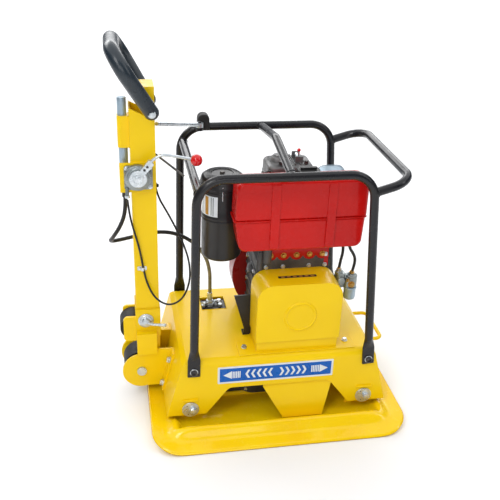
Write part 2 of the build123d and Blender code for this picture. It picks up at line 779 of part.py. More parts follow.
def hoop(side):
    """One side hoop: a bent tube with two flattened feet."""
    y = side * HOOP_Y
    rear_top = (HOOP_REAR_X, y, HOOP_TOP)
    front_top = (HOOP_FRONT_X, y, HOOP_TOP)
    rear_foot, rear_start = post_foot(rear_top, FOOT_REAR_X)
    front_foot, front_start = post_foot(front_top, FOOT_FRONT_X)
    first = (rear_start.X, y, rear_start.Z)
    last = (front_start.X, y, front_start.Z)
    body = tube([first, rear_top, front_top, last], [HOOP_CORNER, HOOP_CORNER], HOOP_TUBE)
    body += rear_foot + front_foot
    return body - console_bolts()


def near_hoop():
    return hoop(-1)


def far_hoop():
    return hoop(1)


def without_hoops(shape):
    """A tube coped to fit between both hoops, made from its left half."""
    half = shape & block(-400, 400, 0, 300, 0, 1000)
    half -= tube(hoop_route(1), [HOOP_CORNER, HOOP_CORNER], HOOP_TUBE)
    half = half.solids().sort_by(SortBy.VOLUME)[-1]
    return half + mirror_y(half)


def cross_bars():
    """The rear cross bar and the peaked lifting bar."""
    rear = bar((-250, -HOOP_Y, 776), (-250, HOOP_Y, 776), HOOP_TUBE)
    lifting = tube([(0, -HOOP_Y, HOOP_TOP), (0, 0, HOOP_TOP + 34), (0, HOOP_Y, HOOP_TOP)],
                   [90], HOOP_TUBE)
    return solids(without_hoops(rear), without_hoops(lifting))


def front_handle():
    """The looped carrying handle at the front."""
    loop = tube(
        [(231, -HOOP_Y, 764), (344, -HOOP_Y, 797), (344, HOOP_Y, 797), (231, HOOP_Y, 764)],
        [62, 62], HOOP_TUBE,
    )
    return without_hoops(loop)


# ---- tow bar hinge ------------------------------------------------------
def hinge_ears():
    """Two ear plates with turned flanges that bolt to the rear wall."""
    top, low = 187, 54
    plate = disc("y", PIVOT_X, PIVOT_Z, 60, -EAR_OUTER, -EAR_INNER)
    plate += prism("y", [(PIVOT_X, PIVOT_Z + 60), (-372, 189), (-wall_x(top), top),
                         (-wall_x(low), low), (PIVOT_X - 14, PIVOT_Z - 58)],
                   -EAR_OUTER, -EAR_INNER)
    flange = prism("y", [(-wall_x(top) - 6.2, top), (-wall_x(top), top), (-wall_x(low), low),
                         (-wall_x(low) - 6.2, low)], -94, -EAR_OUTER + 1)
    near = (plate + flange) - console_bolts() - disc("y", PIVOT_X, PIVOT_Z, PIVOT_R, -70, -40)
    return solids(near, mirror_y(near))


def pivot_pin():
    pin = disc("y", PIVOT_X, PIVOT_Z, PIVOT_R, -66, 66)
    for low in (-66, EAR_OUTER):
        pin += disc("y", PIVOT_X, PIVOT_Z, 15, low, low + 6)
    return pin


def tow_bar_foot():
    """Sleeve round the tow bar's end, with a fork down to the pivot."""
    foot = block(-424, -348, -47, 47, 232, 328) - block(BAR_REAR, BAR_FRONT, -40, 40, 240, 330)
    for side in (-1, 1):
        low, high = sorted((side * 36, side * 44))
        fork = block(-421, -351, low, high, 150, 236)
        fork += disc("y", PIVOT_X, PIVOT_Z, 32, low, high)
        fork += prism("y", [(PIVOT_X - 31, PIVOT_Z + 8), (-421, 160), (-351, 160),
                            (PIVOT_X + 28, PIVOT_Z - 15)], low, high)
        low, high = sorted((side * 32, side * 40))
        cheek = prism("y", [(-462, 214), (-462, 300), (-423, 300), (-423, 214)], low, high,
                      radius=[14, 14, 0, 0])
        foot += fork + cheek
        foot += disc("y", -432, 256, 7, low, high)
    foot += block(-423, -361, -68, -46, 198, 252) + block(-423, -361, -68, -63, 176, 199)
    foot -= disc("y", PIVOT_X, PIVOT_Z, PIVOT_R + 0.05, -50, 50)
    return foot + disc("y", -432, 256, 6, -33, 33)


def rubber_bushes():
    """The pivot's rubber bush, and the rubber buffer behind the tow bar."""
    lower = ring("y", PIVOT_X, PIVOT_Z, 54, PIVOT_R + 0.05, -34, 34)
    upper = ring("y", -432, 256, 40, 6, -31, 31) - block(-424, -300, -40, 40, 200, 340)
    return solids(lower, upper.solids().sort_by(SortBy.VOLUME)[-1])


def tow_bar():
    """Box-section bar with a slanted top, throttle plate and pump saddle."""
    body = block(BAR_REAR, BAR_FRONT, -BAR_HALF_Y, BAR_HALF_Y, BAR_BOTTOM, BAR_TOP)
    inner = BAR_HALF_Y - BAR_WALL
    body -= block(BAR_REAR + BAR_WALL, BAR_FRONT - BAR_WALL, -inner, inner, BAR_BOTTOM - 1,
                  BAR_TOP - 6)
    body -= prism("y", [(-430, 1022), (-414, 1022), (-400, 983), (-376, 958), (-376, 938),
                        (-430, 966)], -50, 50)
    plate = block(-453, BAR_FRONT, -45, -40, 718, 806)
    saddle = prism("z", [(-454, -28), (-421, -28), (-421, 8), (-454, 8)], 845, 935,
                   radius=[12, 0, 0, 12])
    body += plate + saddle - disc("z", -439, -10, 12.7, 700, 990)
    return body - disc("y", HANDLE_X, HANDLE_Z, 9, -50, 50)


def control_handle():
    """Rubber-covered travel handle, a bow pivoted on both sides of the tow bar."""
    ends = [(HANDLE_X, -64, HANDLE_Z), (HANDLE_X, 64, HANDLE_Z)]
    corners = [(-460, -140, 1126), (-460, 140, 1126)]
    bow = tube([ends[0], corners[0], corners[1], ends[1]], [58, 58], HANDLE_TUBE)
    for end in ends:
        bow += Pos(*end) * Sphere(HANDLE_TUBE)
    for low in (-92, 80):
        bow -= disc("y", HANDLE_X, HANDLE_Z, 13, low, low + 12)
    return bow - disc("y", HANDLE_X, HANDLE_Z, 9.05, -90, 90)


def tow_bar_fittings():
    """Handle pivot bolt, cable clip and the thin stay rod to the cross bar."""
    bolt = disc("y", HANDLE_X, HANDLE_Z, 9, -92, 92)
    for low in (-92, 86):
        bolt += disc("y", HANDLE_X, HANDLE_Z, 12, low, low + 6)
    clip = block(-412, -386, -50, -40, 464, 477)
    clip -= cable_tube()
    stay = bar((BAR_FRONT, 0, 816), (-274, -62, 769), 3.5)
    stay &= block(BAR_FRONT, -200, -100, 50, 700, 900)
    return solids(bolt, clip, stay)


def pump_cylinder():
    """Hydraulic travel-control cylinder with the hose union at its foot."""
    pump = disc("z", -439, -10, 12.7, 735, 985) + disc("z", -439, -10, 9, 700, 735)
    return pump + disc("z", -439, -10, 13, 712, 724)


def throttle_housing():
    """Throttle control body, screwed to the plate, with the cable's adjuster."""
    base = prism("y", [(-441, 728), (-441, 800), (-361, 800), (-361, 728)], -53, -45, radius=8)
    body = base + disc("y", THROTTLE_X, THROTTLE_Z, 38, -70, -53)
    return body + bar((-434, -51, 730), (-434, -56, 700), 5.5)


def throttle_lever():
    """Hub, clamp and bent rod of the hand throttle."""
    lever = disc("y", THROTTLE_X, THROTTLE_Z, 25, -79, -70.3)
    lever += bar((THROTTLE_X, -76.8, THROTTLE_Z), (-376, -76.8, 810), 6)
    lever += block(-388, -362, -84, -70.3, 800, 824)
    lever += tube([(-372, -78, 814), (-333, -80, 843), (-253, -80, 825)], [30], 4.5)
    return lever - Pos(*KNOB) * Sphere(17)


def throttle_knob():
    return Pos(*KNOB) * Sphere(17)


def clamp_lever():
    """Wing lever that clamps the tow bar in its foot."""
    lever = disc("y", CLAMP_X, CLAMP_Z, 24, -52.3, -47.3)
    lever += disc("y", CLAMP_X, CLAMP_Z, 11, -66, -52)
    lever += bar((CLAMP_X, -60, CLAMP_Z), (-339, -64, 279), 5)
    return lever + Pos(-339, -64, 279) * Sphere(6)


# ---- transport latch ----------------------------------------------------
def latch_block():
    """Rubber dome on the left hoop, with the lug and pin of the latch rod."""
    body = block(-204, -166, 207, 244, 812, 864)
    body = fillet(body.edges().filter_by(Axis.Y).sort_by(Axis.Z)[-2:], 17)
    body += block(LATCH_X - 12, LATCH_X + 12, LATCH_Y - 9, 210, LATCH_Z - 18, LATCH_Z - 7)
    body += disc("z", LATCH_X, LATCH_Y, 5, LATCH_Z - 8, LATCH_Z + 12)
    body -= tube(hoop_route(1), [HOOP_CORNER, HOOP_CORNER], HOOP_TUBE)
    return body.solids().sort_by(SortBy.VOLUME)[-1]


def latch_rod():
    """Rod that holds the tow bar upright for transport."""
    eye = disc("z", LATCH_X, LATCH_Y, 12, LATCH_Z - 6.5, LATCH_Z + 6.5)
    rod = bar((LATCH_X, LATCH_Y, LATCH_Z), (-343, 18, 898), 6)
    return (eye + rod) - disc("z", LATCH_X, LATCH_Y, 5.05, LATCH_Z - 30, LATCH_Z + 30)


# ---- cords --------------------------------------------------------------
def cable_tube():
    """The throttle cable alone, to cut its clip."""
    return tube(CABLE_POINTS, bend_radii(CABLE_POINTS), CABLE_D / 2)


def hose_coupling():
    """Union and banjo block where the hose enters the deck slot."""
    union = disc("z", UNION_X, UNION_Y, 11, 236, 262)
    plate = block(-214, -112, 82, 142, 228, 237)
    return union + plate


def hydraulic_hose():
    return cord("hydraulic_hose", HOSE_POINTS, HOSE_D)


def throttle_cable():
    return cord("throttle_cable", CABLE_POINTS, CABLE_D)


def fuel_hose_tank():
    return cord("fuel_hose_tank", TANK_HOSE_POINTS, TANK_HOSE_D)


def fuel_hose_pump():
    return cord("fuel_hose_pump", PUMP_HOSE_POINTS, PUMP_HOSE_D)


SUB_PARTS = [
    base_plate, exciter_housing, exciter_end_covers, exciter_bearings, exciter_bolts,
    drive_eccentric_shaft, drive_timing_gear, exciter_pulley, driven_eccentric_shaft,
    driven_timing_gear, rubber_mounts, console_frame, console_bolts, lower_belt_guard,
    tie_down_eye, direction_plate, belt_guard, v_belt, clutch_drum, clutch_hub, crankshaft,
    crankcase, flywheel, fan_shroud, recoil_starter, recoil_grip, cylinder_block, cylinder_head,
    rocker_cover, decompression_lever, fuel_tank, fuel_cap, air_cleaner_body, air_cleaner_lid,
    muffler, engine_brackets, fuel_filter, near_hoop, far_hoop, cross_bars, front_handle,
    hinge_ears, pivot_pin, tow_bar_foot, rubber_bushes, tow_bar, control_handle,
    tow_bar_fittings, pump_cylinder, throttle_housing, throttle_lever, throttle_knob,
    clamp_lever, latch_block, latch_rod, hose_coupling, hydraulic_hose, throttle_cable,
    fuel_hose_tank, fuel_hose_pump,
]

os.makedirs("parts", exist_ok=True)
for make in SUB_PARTS:
    export_step(make(), f"parts/{make.__name__}.step")
print(len(SUB_PARTS), "sub-parts written")
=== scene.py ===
from math import cos, pi, radians, sin, sqrt

import bmesh
import bpy
from mathutils import Matrix, Vector


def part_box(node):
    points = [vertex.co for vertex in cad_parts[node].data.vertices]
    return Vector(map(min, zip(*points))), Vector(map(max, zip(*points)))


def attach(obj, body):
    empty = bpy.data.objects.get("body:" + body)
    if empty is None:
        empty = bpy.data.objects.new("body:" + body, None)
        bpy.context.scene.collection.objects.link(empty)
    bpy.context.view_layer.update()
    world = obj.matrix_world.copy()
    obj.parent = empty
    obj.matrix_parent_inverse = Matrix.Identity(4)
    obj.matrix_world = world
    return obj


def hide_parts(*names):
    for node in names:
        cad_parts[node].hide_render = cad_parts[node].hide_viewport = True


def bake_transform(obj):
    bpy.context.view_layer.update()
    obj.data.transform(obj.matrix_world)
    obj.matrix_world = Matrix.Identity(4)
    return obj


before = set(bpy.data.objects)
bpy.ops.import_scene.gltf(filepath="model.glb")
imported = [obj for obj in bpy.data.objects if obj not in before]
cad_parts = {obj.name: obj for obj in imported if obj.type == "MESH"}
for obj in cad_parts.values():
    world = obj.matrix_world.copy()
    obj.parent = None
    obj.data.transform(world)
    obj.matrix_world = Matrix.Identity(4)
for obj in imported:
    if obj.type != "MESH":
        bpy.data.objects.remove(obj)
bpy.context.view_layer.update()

MM = 0.001
MATERIALS = {}

# Directions: the near side is the one that the camera faces.
UP, NEAR, FAR, AHEAD, BACK = (0, 0, 1), (0, -1, 0), (0, 1, 0), (1, 0, 0), (-1, 0, 0)

# Places and sizes that several pieces share, in millimetres.
MOUNT_X, MOUNT_Z = 274, 72
MOUNTS = [(x, side) for x in (-MOUNT_X, MOUNT_X) for side in (-1, 1)]
DECK_Z = 242
CRANK_X, CRANK_Z = 54, 364
SHROUD_FACE, STARTER_FACE = 150, 182
TANK_SEAM = 668
TANK_LOWER = [(-142, TANK_SEAM), (-128, 571), (233, 571), (238, TANK_SEAM)]
TANK_UPPER = [(-142, TANK_SEAM), (-138, 785), (240, 785), (240, TANK_SEAM)]
STRAPS = ((-42, -16), (121, 147))
BRACKET_PITCH = 40
CAP_X, CAP_Y = 68, -132
CLEANER_X, CLEANER_Y = -159, -24
FILTER_Y = -105
PUMP_X, PUMP_Y = -439, -10
THROTTLE_X, THROTTLE_Z = -403, 768
CLAMP_X, CLAMP_Z = -393, 290
HANDLE_X, HANDLE_Y, HANDLE_Z = -361, 64, 955
HANDLE_TUBE, HANDLE_BEND = 21, 58
UNION_X, UNION_Y = -173, 112
LATCH_X, LATCH_Y = -200, 193


def mm(x, y, z):
    """A point given in millimetres, in metres."""
    return Vector((x, y, z)) * MM


def corners(node):
    """A CAD node's lowest and highest corner, in millimetres."""
    low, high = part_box(node)
    return low / MM, high / MM


# ---- camera, light and floor --------------------------------------------
def add_camera():
    """The photograph's viewpoint, in metres and radians."""
    yaw, pitch, roll = 0.1946, 0.4680, 0.0379
    forward = Vector((sin(yaw) * cos(pitch), cos(yaw) * cos(pitch), -sin(pitch)))
    level = Vector((cos(yaw), -sin(yaw), 0))
    upright = level.cross(forward)
    right = cos(roll) * level + sin(roll) * upright
    up = -sin(roll) * level + cos(roll) * upright
    turn = Matrix((right, up, -forward)).transposed().to_4x4()
    data = bpy.data.cameras.new("camera")
    data.lens = 54.8
    data.sensor_width = 36
    camera = bpy.data.objects.new("camera", data)
    camera.matrix_world = Matrix.Translation((-0.4718, -2.0675, 1.5574)) @ turn
    bpy.context.scene.collection.objects.link(camera)
    bpy.context.scene.camera = camera


def add_light(name, place, size, power, aim=(0, 0, 0.4)):
    """A soft rectangular light, in metres and watts."""
    data = bpy.data.lights.new(name, "AREA")
    data.shape = "RECTANGLE"
    data.size, data.size_y = size
    data.energy = power
    light = bpy.data.objects.new(name, data)
    light.location = place
    light.rotation_euler = (Vector(aim) - Vector(place)).to_track_quat("-Z", "Y").to_euler()
    bpy.context.scene.collection.objects.link(light)


def add_studio():
    """A large ceiling light, a few softboxes and a plain pale floor."""
    add_light("ceiling", (0, 1.5, 5.5), (15, 15), 800)
    add_light("back_wash", (0, 9.0, 4.0), (12, 4), 420, aim=(0, 7.0, 0))
    add_light("front_softbox", (-0.9, -4.2, 2.0), (3.4, 1.8), 44, aim=(0, 0, 0.45))
    add_light("key_softbox", (-1.7, -2.2, 3.0), (1.1, 1.1), 34)
    add_light("side_strip", (2.6, -1.4, 2.3), (0.5, 1.8), 12)
    add_light("rear_strip", (-1.6, 2.2, 2.6), (1.8, 0.5), 16)
    world = bpy.data.worlds.new("studio")
    world.use_nodes = True
    background = world.node_tree.nodes["Background"]
    background.inputs["Color"].default_value = (0.80, 0.86, 1.0, 1)
    background.inputs["Strength"].default_value = 0.16
    bpy.context.scene.world = world
    bpy.context.scene.view_settings.view_transform = "Standard"
    bpy.context.scene.view_settings.look = "None"
    bm = bmesh.new()
    rings = []
    for radius in (0.0, 2.0, 6.0, 14.0):
        rings.append([bm.verts.new((radius * cos(a * pi / 32), radius * sin(a * pi / 32), -0.0005))
                      for a in range(64)] if radius else [bm.verts.new((0, 0, -0.0005))])
    for a in range(64):
        b = (a + 1) % 64
        bm.faces.new((rings[0][0], rings[1][a], rings[1][b]))
        for inner, outer in zip(rings[1:], rings[2:]):
            bm.faces.new((inner[a], outer[a], outer[b], inner[b]))
    floor = finish_mesh("studio_floor", bm, ["floor"], body=None)


# ---- materials ----------------------------------------------------------
def socket(node, name, value):
    """Sets one input of a shader node."""
    node.inputs[name].default_value = value


def surface(name, colour, accent, rough, metal=0.0, coat=0.0, coat_rough=0.1, patch=7.0,
            grain=420.0, bump=0.05, spread=0.08, edge=0.0012, worn=None, wear=0.0,
            specular=0.5):
    """A finish with two blended tints, fine grain, uneven gloss and softened, worn edges."""
    material = bpy.data.materials.new(name)
    material.use_nodes = True
    tree = material.node_tree
    nodes, link = tree.nodes, tree.links.new
    shader = nodes["Principled BSDF"]
    socket(shader, "Metallic", metal)
    socket(shader, "Coat Weight", coat)
    socket(shader, "Coat Roughness", coat_rough)
    socket(shader, "Specular IOR Level", specular)
    place = nodes.new("ShaderNodeTexCoord")

    def noise(scale, detail, roughness=0.5):
        made = nodes.new("ShaderNodeTexNoise")
        socket(made, "Scale", scale)
        socket(made, "Detail", detail)
        socket(made, "Roughness", roughness)
        link(place.outputs["Object"], made.inputs["Vector"])
        return made.outputs["Fac"]

    def mix(low, high, factor):
        made = nodes.new("ShaderNodeMix")
        made.data_type = "RGBA"
        for where, value in (("A", low), ("B", high)):
            into = [i for i in made.inputs if i.name == where and i.type == "RGBA"][0]
            if isinstance(value, tuple):
                into.default_value = (*value, 1)
            else:
                link(value, into)
        link(factor, made.inputs[0])
        return [o for o in made.outputs if o.type == "RGBA"][0]

    def span(value, low, high, to_low, to_high):
        made = nodes.new("ShaderNodeMapRange")
        for label, number in (("From Min", low), ("From Max", high), ("To Min", to_low),
                              ("To Max", to_high)):
            socket(made, label, number)
        link(value, made.inputs["Value"])
        return made.outputs["Result"]

    tint = mix(colour, accent, span(noise(patch, 4), 0.35, 0.65, 0, 1))
    bevel = nodes.new("ShaderNodeBevel")
    bevel.samples = 4
    socket(bevel, "Radius", edge)
    if worn is not None:
        geometry = nodes.new("ShaderNodeNewGeometry")
        facing = nodes.new("ShaderNodeVectorMath")
        facing.operation = "DOT_PRODUCT"
        link(bevel.outputs["Normal"], facing.inputs[0])
        link(geometry.outputs["Normal"], facing.inputs[1])
        at_edge = span(facing.outputs["Value"], 0.97, 0.80, 0, wear)
        broken = nodes.new("ShaderNodeMath")
        broken.operation = "MULTIPLY"
        link(at_edge, broken.inputs[0])
        link(span(noise(90, 5, 0.7), 0.42, 0.62, 0, 1), broken.inputs[1])
        tint = mix(tint, worn, broken.outputs[0])
    link(tint, shader.inputs["Base Color"])
    link(span(noise(38, 5, 0.6), 0.3, 0.7, max(0.02, rough - spread), rough + spread),
         shader.inputs["Roughness"])
    relief = nodes.new("ShaderNodeBump")
    socket(relief, "Strength", bump)
    socket(relief, "Distance", 0.001)
    link(noise(grain, 3), relief.inputs["Height"])
    link(bevel.outputs["Normal"], relief.inputs["Normal"])
    link(relief.outputs["Normal"], shader.inputs["Normal"])
    MATERIALS[name] = material


def make_materials():
    """Every finish on the machine, and the floor's."""
    surface("yellow_paint", (0.88, 0.58, 0.001), (0.92, 0.62, 0.002), 0.36, coat=0.18,
            coat_rough=0.10, patch=5, grain=260, bump=0.10, worn=(0.95, 0.76, 0.08), wear=0.45,
            edge=0.002, specular=0.16)
    surface("plate_paint", (0.95, 0.65, 0.002), (0.92, 0.58, 0.002), 0.24, coat=0.40,
            coat_rough=0.05, patch=6, grain=120, bump=0.16, worn=(0.97, 0.84, 0.10), wear=0.3,
            edge=0.0015, specular=0.2)
    surface("black_paint", (0.007, 0.008, 0.011), (0.012, 0.011, 0.012), 0.30, coat=0.30,
            coat_rough=0.10, grain=160, bump=0.03, worn=(0.08, 0.08, 0.085), wear=0.35,
            specular=0.25)
    surface("red_paint", (0.58, 0.008, 0.005), (0.48, 0.006, 0.005), 0.26, coat=0.22,
            coat_rough=0.06, patch=4, grain=140, bump=0.07, worn=(0.82, 0.13, 0.10), wear=0.5,
            edge=0.002, specular=0.12)
    surface("dark_red_paint", (0.33, 0.010, 0.010), (0.22, 0.010, 0.010), 0.34, coat=0.3, grain=180,
            bump=0.12, worn=(0.5, 0.08, 0.06), wear=0.4, edge=0.002, specular=0.3)
    surface("engine_black", (0.010, 0.010, 0.011), (0.020, 0.018, 0.017), 0.36, coat=0.15,
            grain=500, bump=0.22, worn=(0.10, 0.10, 0.10), wear=0.4, specular=0.3)
    surface("cast_alloy", (0.24, 0.24, 0.24), (0.14, 0.14, 0.14), 0.50, metal=0.6, patch=22,
            grain=900, bump=0.45, spread=0.12, worn=(0.75, 0.75, 0.76), wear=0.6)
    surface("cast_grey", (0.13, 0.13, 0.133), (0.075, 0.075, 0.076), 0.50, metal=0.5, patch=20,
            grain=800, bump=0.45, spread=0.12, worn=(0.45, 0.45, 0.45), wear=0.55, specular=0.3)
    surface("cast_dark", (0.040, 0.041, 0.043), (0.085, 0.084, 0.082), 0.52, metal=0.4, patch=18,
            grain=800, bump=0.5, spread=0.12, worn=(0.30, 0.30, 0.30), wear=0.5, specular=0.3)
    surface("bright_alloy", (0.36, 0.39, 0.38), (0.22, 0.25, 0.25), 0.34, metal=0.85, patch=26,
            grain=1100, bump=0.30, spread=0.12, worn=(0.85, 0.87, 0.87), wear=0.55)
    surface("steel", (0.50, 0.50, 0.50), (0.38, 0.38, 0.38), 0.30, metal=1.0, patch=30, grain=1500,
            bump=0.2, spread=0.1, worn=(0.8, 0.8, 0.8), wear=0.5)
    surface("zinc", (0.70, 0.74, 0.76), (0.52, 0.57, 0.60), 0.30, metal=0.8, patch=60, grain=600,
            bump=0.04, spread=0.08, edge=0.0006, worn=(0.9, 0.9, 0.9), wear=0.4)
    surface("dark_bolt", (0.04, 0.04, 0.045), (0.12, 0.11, 0.10), 0.38, metal=0.9, patch=80,
            grain=1500, bump=0.2, edge=0.0005, worn=(0.4, 0.4, 0.4), wear=0.6)
    surface("brass", (0.62, 0.36, 0.10), (0.45, 0.26, 0.07), 0.27, metal=1.0, patch=60, grain=1500,
            bump=0.15, edge=0.0005, worn=(0.9, 0.7, 0.35), wear=0.5)
    surface("copper", (0.52, 0.20, 0.10), (0.34, 0.14, 0.08), 0.30, metal=1.0, patch=40, grain=1500,
            bump=0.1, edge=0.0004)
    surface("rubber", (0.013, 0.013, 0.014), (0.026, 0.024, 0.023), 0.56, patch=14, grain=900,
            bump=0.30, edge=0.0012, worn=(0.06, 0.06, 0.06), wear=0.5, specular=0.3)
    surface("grip_rubber", (0.012, 0.021, 0.030), (0.018, 0.027, 0.035), 0.30, coat=0.30,
            coat_rough=0.25, patch=12, grain=700, bump=0.14, edge=0.002, specular=0.35)
    surface("hose_rubber", (0.010, 0.010, 0.011), (0.022, 0.021, 0.020), 0.40, patch=25, grain=1400,
            bump=0.25, edge=0.0004, specular=0.3)
    surface("sleeve", (0.17, 0.145, 0.065), (0.27, 0.235, 0.12), 0.40, coat=0.2, patch=55,
            grain=1300, bump=0.5, edge=0.0004, specular=0.3)
    surface("black_plastic", (0.012, 0.012, 0.012), (0.020, 0.020, 0.020), 0.42, patch=20,
            grain=1300, bump=0.25, edge=0.001, specular=0.3)
    surface("red_plastic", (0.70, 0.008, 0.010), (0.60, 0.006, 0.008), 0.16, coat=0.6,
            coat_rough=0.05, patch=40, grain=500, bump=0.03, edge=0.001, specular=0.3)
    surface("sign_blue", (0.003, 0.090, 0.42), (0.004, 0.115, 0.48), 0.30, coat=0.15, patch=9,
            grain=900, bump=0.05, edge=0.0004, specular=0.2)
    surface("sign_white", (0.78, 0.82, 0.84), (0.68, 0.73, 0.76), 0.34, coat=0.15, patch=14,
            grain=900, bump=0.05, edge=0.0003, specular=0.25)
    surface("label_tan", (0.55, 0.28, 0.05), (0.42, 0.20, 0.04), 0.38, coat=0.15, patch=60,
            grain=900, bump=0.05, edge=0.0003, specular=0.25)
    surface("shield", (0.36, 0.46, 0.54), (0.28, 0.37, 0.44), 0.36, metal=0.5, patch=12, grain=600,
            bump=0.2, worn=(0.62, 0.68, 0.72), wear=0.5, edge=0.002)
    surface("floor", (0.93, 0.93, 0.93), (0.91, 0.91, 0.91), 0.7, patch=0.6, grain=30, bump=0.01,
            spread=0.03, edge=0.0005, specular=0.1)


# ---- mesh building ------------------------------------------------------
def round_turn(count):
    """Evenly spaced angles of one full turn."""
    return [2 * pi * k / count for k in range(count)]


def rectangle(x0, y0, x1, y1):
    """An outline's four corners."""
    return [(x0, y0), (x1, y0), (x1, y1), (x0, y1)]


def finish_mesh(name, bm, materials, body="machine", bevel=0.0, segments=3,
                replaced=(), smooth=40):
    """Turns a bmesh into an object with its materials, edges and body."""
    bmesh.ops.remove_doubles(bm, verts=bm.verts, dist=1e-6)
    bmesh.ops.recalc_face_normals(bm, faces=bm.faces)
    data = bpy.data.meshes.new(name)
    bm.to_mesh(data)
    bm.free()
    for material in materials:
        data.materials.append(MATERIALS[material])
    piece = bpy.data.objects.new(name, data)
    bpy.context.scene.collection.objects.link(piece)
    for polygon in data.polygons:
        polygon.use_smooth = True
    data.set_sharp_from_angle(angle=radians(smooth))
    if bevel:
        modifier = piece.modifiers.new("edge", "BEVEL")
        modifier.width = bevel * MM
        modifier.segments = segments
        modifier.limit_method = "ANGLE"
        modifier.angle_limit = radians(38)
        modifier.harden_normals = True
    if body:
        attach(piece, body)
    if replaced:
        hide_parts(*replaced)
    return piece


def frame_of(axis):
    """Two directions square to an axis; round Z the first is X, and angles count to Y."""
    axis = Vector(axis).normalized()
    if abs(axis.z) > 0.99:
        side = Vector(AHEAD)
    else:
        side = Vector(UP).cross(axis).normalized()
    return axis, side, axis.cross(side)


def add_lathe(bm, centre, axis, profile, sides=48, material=0, start=0.0, sweep_angle=2 * pi):
    """A turned form from (radius, height) points along an axis, in millimetres."""
    axis, u, v = frame_of(axis)
    whole = abs(sweep_angle - 2 * pi) < 1e-6
    count = sides if whole else sides + 1
    rings = []
    for radius, height in profile:
        middle = Vector(centre) + axis * height
        if radius < 1e-6:
            rings.append([bm.verts.new(middle * MM)])
            continue
        ring = []
        for i in range(count):
            angle = start + sweep_angle * i / sides
            ring.append(bm.verts.new((middle + (u * cos(angle) + v * sin(angle)) * radius) * MM))
        rings.append(ring)
    for low, high in zip(rings, rings[1:]):
        for i in range(sides):
            j = (i + 1) % count
            if len(low) == 1 and len(high) == 1:
                continue
            if len(low) == 1:
                face = bm.faces.new((low[0], high[i], high[j]))
            elif len(high) == 1:
                face = bm.faces.new((low[i], low[j], high[0]))
            else:
                face = bm.faces.new((low[i], low[j], high[j], high[i]))
            face.material_index = material


def rounded(points, radii, steps=7):
    """A closed outline whose corners are arcs."""
    outline = []
    count = len(points)
    if not hasattr(radii, "__len__"):
        radii = [radii] * count
    for i, radius in enumerate(radii):
        here = Vector(points[i])
        back = (Vector(points[i - 1]) - here).normalized()
        ahead = (Vector(points[(i + 1) % count]) - here).normalized()
        if radius <= 0:
            outline.append(here)
            continue
        half = back.angle(ahead) / 2
        middle = here + (back + ahead).normalized() * (radius / sin(half))
        first = here + back * (radius * cos(half) / sin(half)) - middle
        last = here + ahead * (radius * cos(half) / sin(half)) - middle
        for step in range(steps + 1):
            t = step / steps
            swing = first.angle(last)
            arm = (first * sin((1 - t) * swing) + last * sin(t * swing)) / sin(swing)
            outline.append(middle + arm)
    return outline


def add_prism(bm, axis, outline, low, high, material=0):
    """A straight extrusion of an outline given as (y, z), (x, z) or (x, y)."""
    def place(point, along):
        u, v = point
        made = {"x": (along, u, v), "y": (u, along, v), "z": (u, v, along)}[axis]
        return Vector(made) * MM

    bottom = [bm.verts.new(place(p, low)) for p in outline]
    top = [bm.verts.new(place(p, high)) for p in outline]
    faces = [bm.faces.new(bottom), bm.faces.new(top)]
    for i in range(len(outline)):
        j = (i + 1) % len(outline)
        faces.append(bm.faces.new((bottom[i], bottom[j], top[j], top[i])))
    for face in faces:
        face.material_index = material


def add_block(bm, low, high, material=0):
    """A box between two corners."""
    x0, y0, z0 = low
    x1, y1, z1 = high
    add_prism(bm, "z", rectangle(x0, y0, x1, y1), z0, z1, material)


def add_hex_bolt(bm, centre, axis, across, height, washer=0.0, thick=2.0, material=0,
                 washer_material=None, socket_head=False):
    """A chamfered hexagon head, with a flat washer under it if wanted."""
    base = 0.0
    if washer:
        edge = min(0.6, thick / 3)
        profile = [(0, 0), (washer - edge, 0), (washer, edge), (washer, thick - edge),
                   (washer - edge, thick), (0, thick)]
        add_lathe(bm, centre, axis, profile, 40,
                  material if washer_material is None else washer_material)
        base = thick
    radius = across / sqrt(3)
    sides = 32 if socket_head else 6
    inner = radius * 0.90
    profile = [(0, base), (radius, base), (radius, base + height * 0.82), (inner, base + height)]
    if socket_head:
        profile += [(radius * 0.52, base + height), (radius * 0.5, base + height * 0.45),
                    (0, base + height * 0.4)]
    else:
        profile += [(radius * 0.35, base + height * 1.02), (0, base + height * 1.02)]
    add_lathe(bm, centre, axis, profile, sides, material, start=0.3)


def tube_mesh(bm, points, radius, sides=14, material=0, closed=False):
    """A round tube along points in millimetres, with no twist."""
    points = [Vector(p) for p in points]
    count = len(points)
    rings = []
    side = None
    for i, point in enumerate(points):
        before = points[i - 1] if i or closed else point
        after = points[(i + 1) % count] if i < count - 1 or closed else point
        run = (after - before).normalized()
        if side is None:
            side = run.orthogonal().normalized()
        side = (side - run * side.dot(run)).normalized()
        up = run.cross(side)
        rings.append([bm.verts.new((point + (side * cos(a) + up * sin(a)) * radius) * MM)
                      for a in round_turn(sides)])
    pairs = list(zip(rings, rings[1:]))
    if closed:
        pairs.append((rings[-1], rings[0]))
    for low, high in pairs:
        for k in range(sides):
            j = (k + 1) % sides
            bm.faces.new((low[k], low[j], high[j], high[k])).material_index = material
    if not closed:
        for ring in (rings[0], rings[-1]):
            bm.faces.new(ring).material_index = material


def smooth_path(points, steps=8):
    """Points along a Catmull-Rom curve through a few given ones."""
    points = [Vector(p) for p in points]
    ends = [2 * points[0] - points[1], *points, 2 * points[-1] - points[-2]]
    path = []
    for a, b, c, d in zip(ends, ends[1:], ends[2:], ends[3:]):
        for step in range(steps):
            t = step / steps
            path.append(0.5 * (2 * b + (c - a) * t + (2 * a - 5 * b + 4 * c - d) * t ** 2
                               + (3 * b - a - 3 * c + d) * t ** 3))
    return [*path, points[-1]]


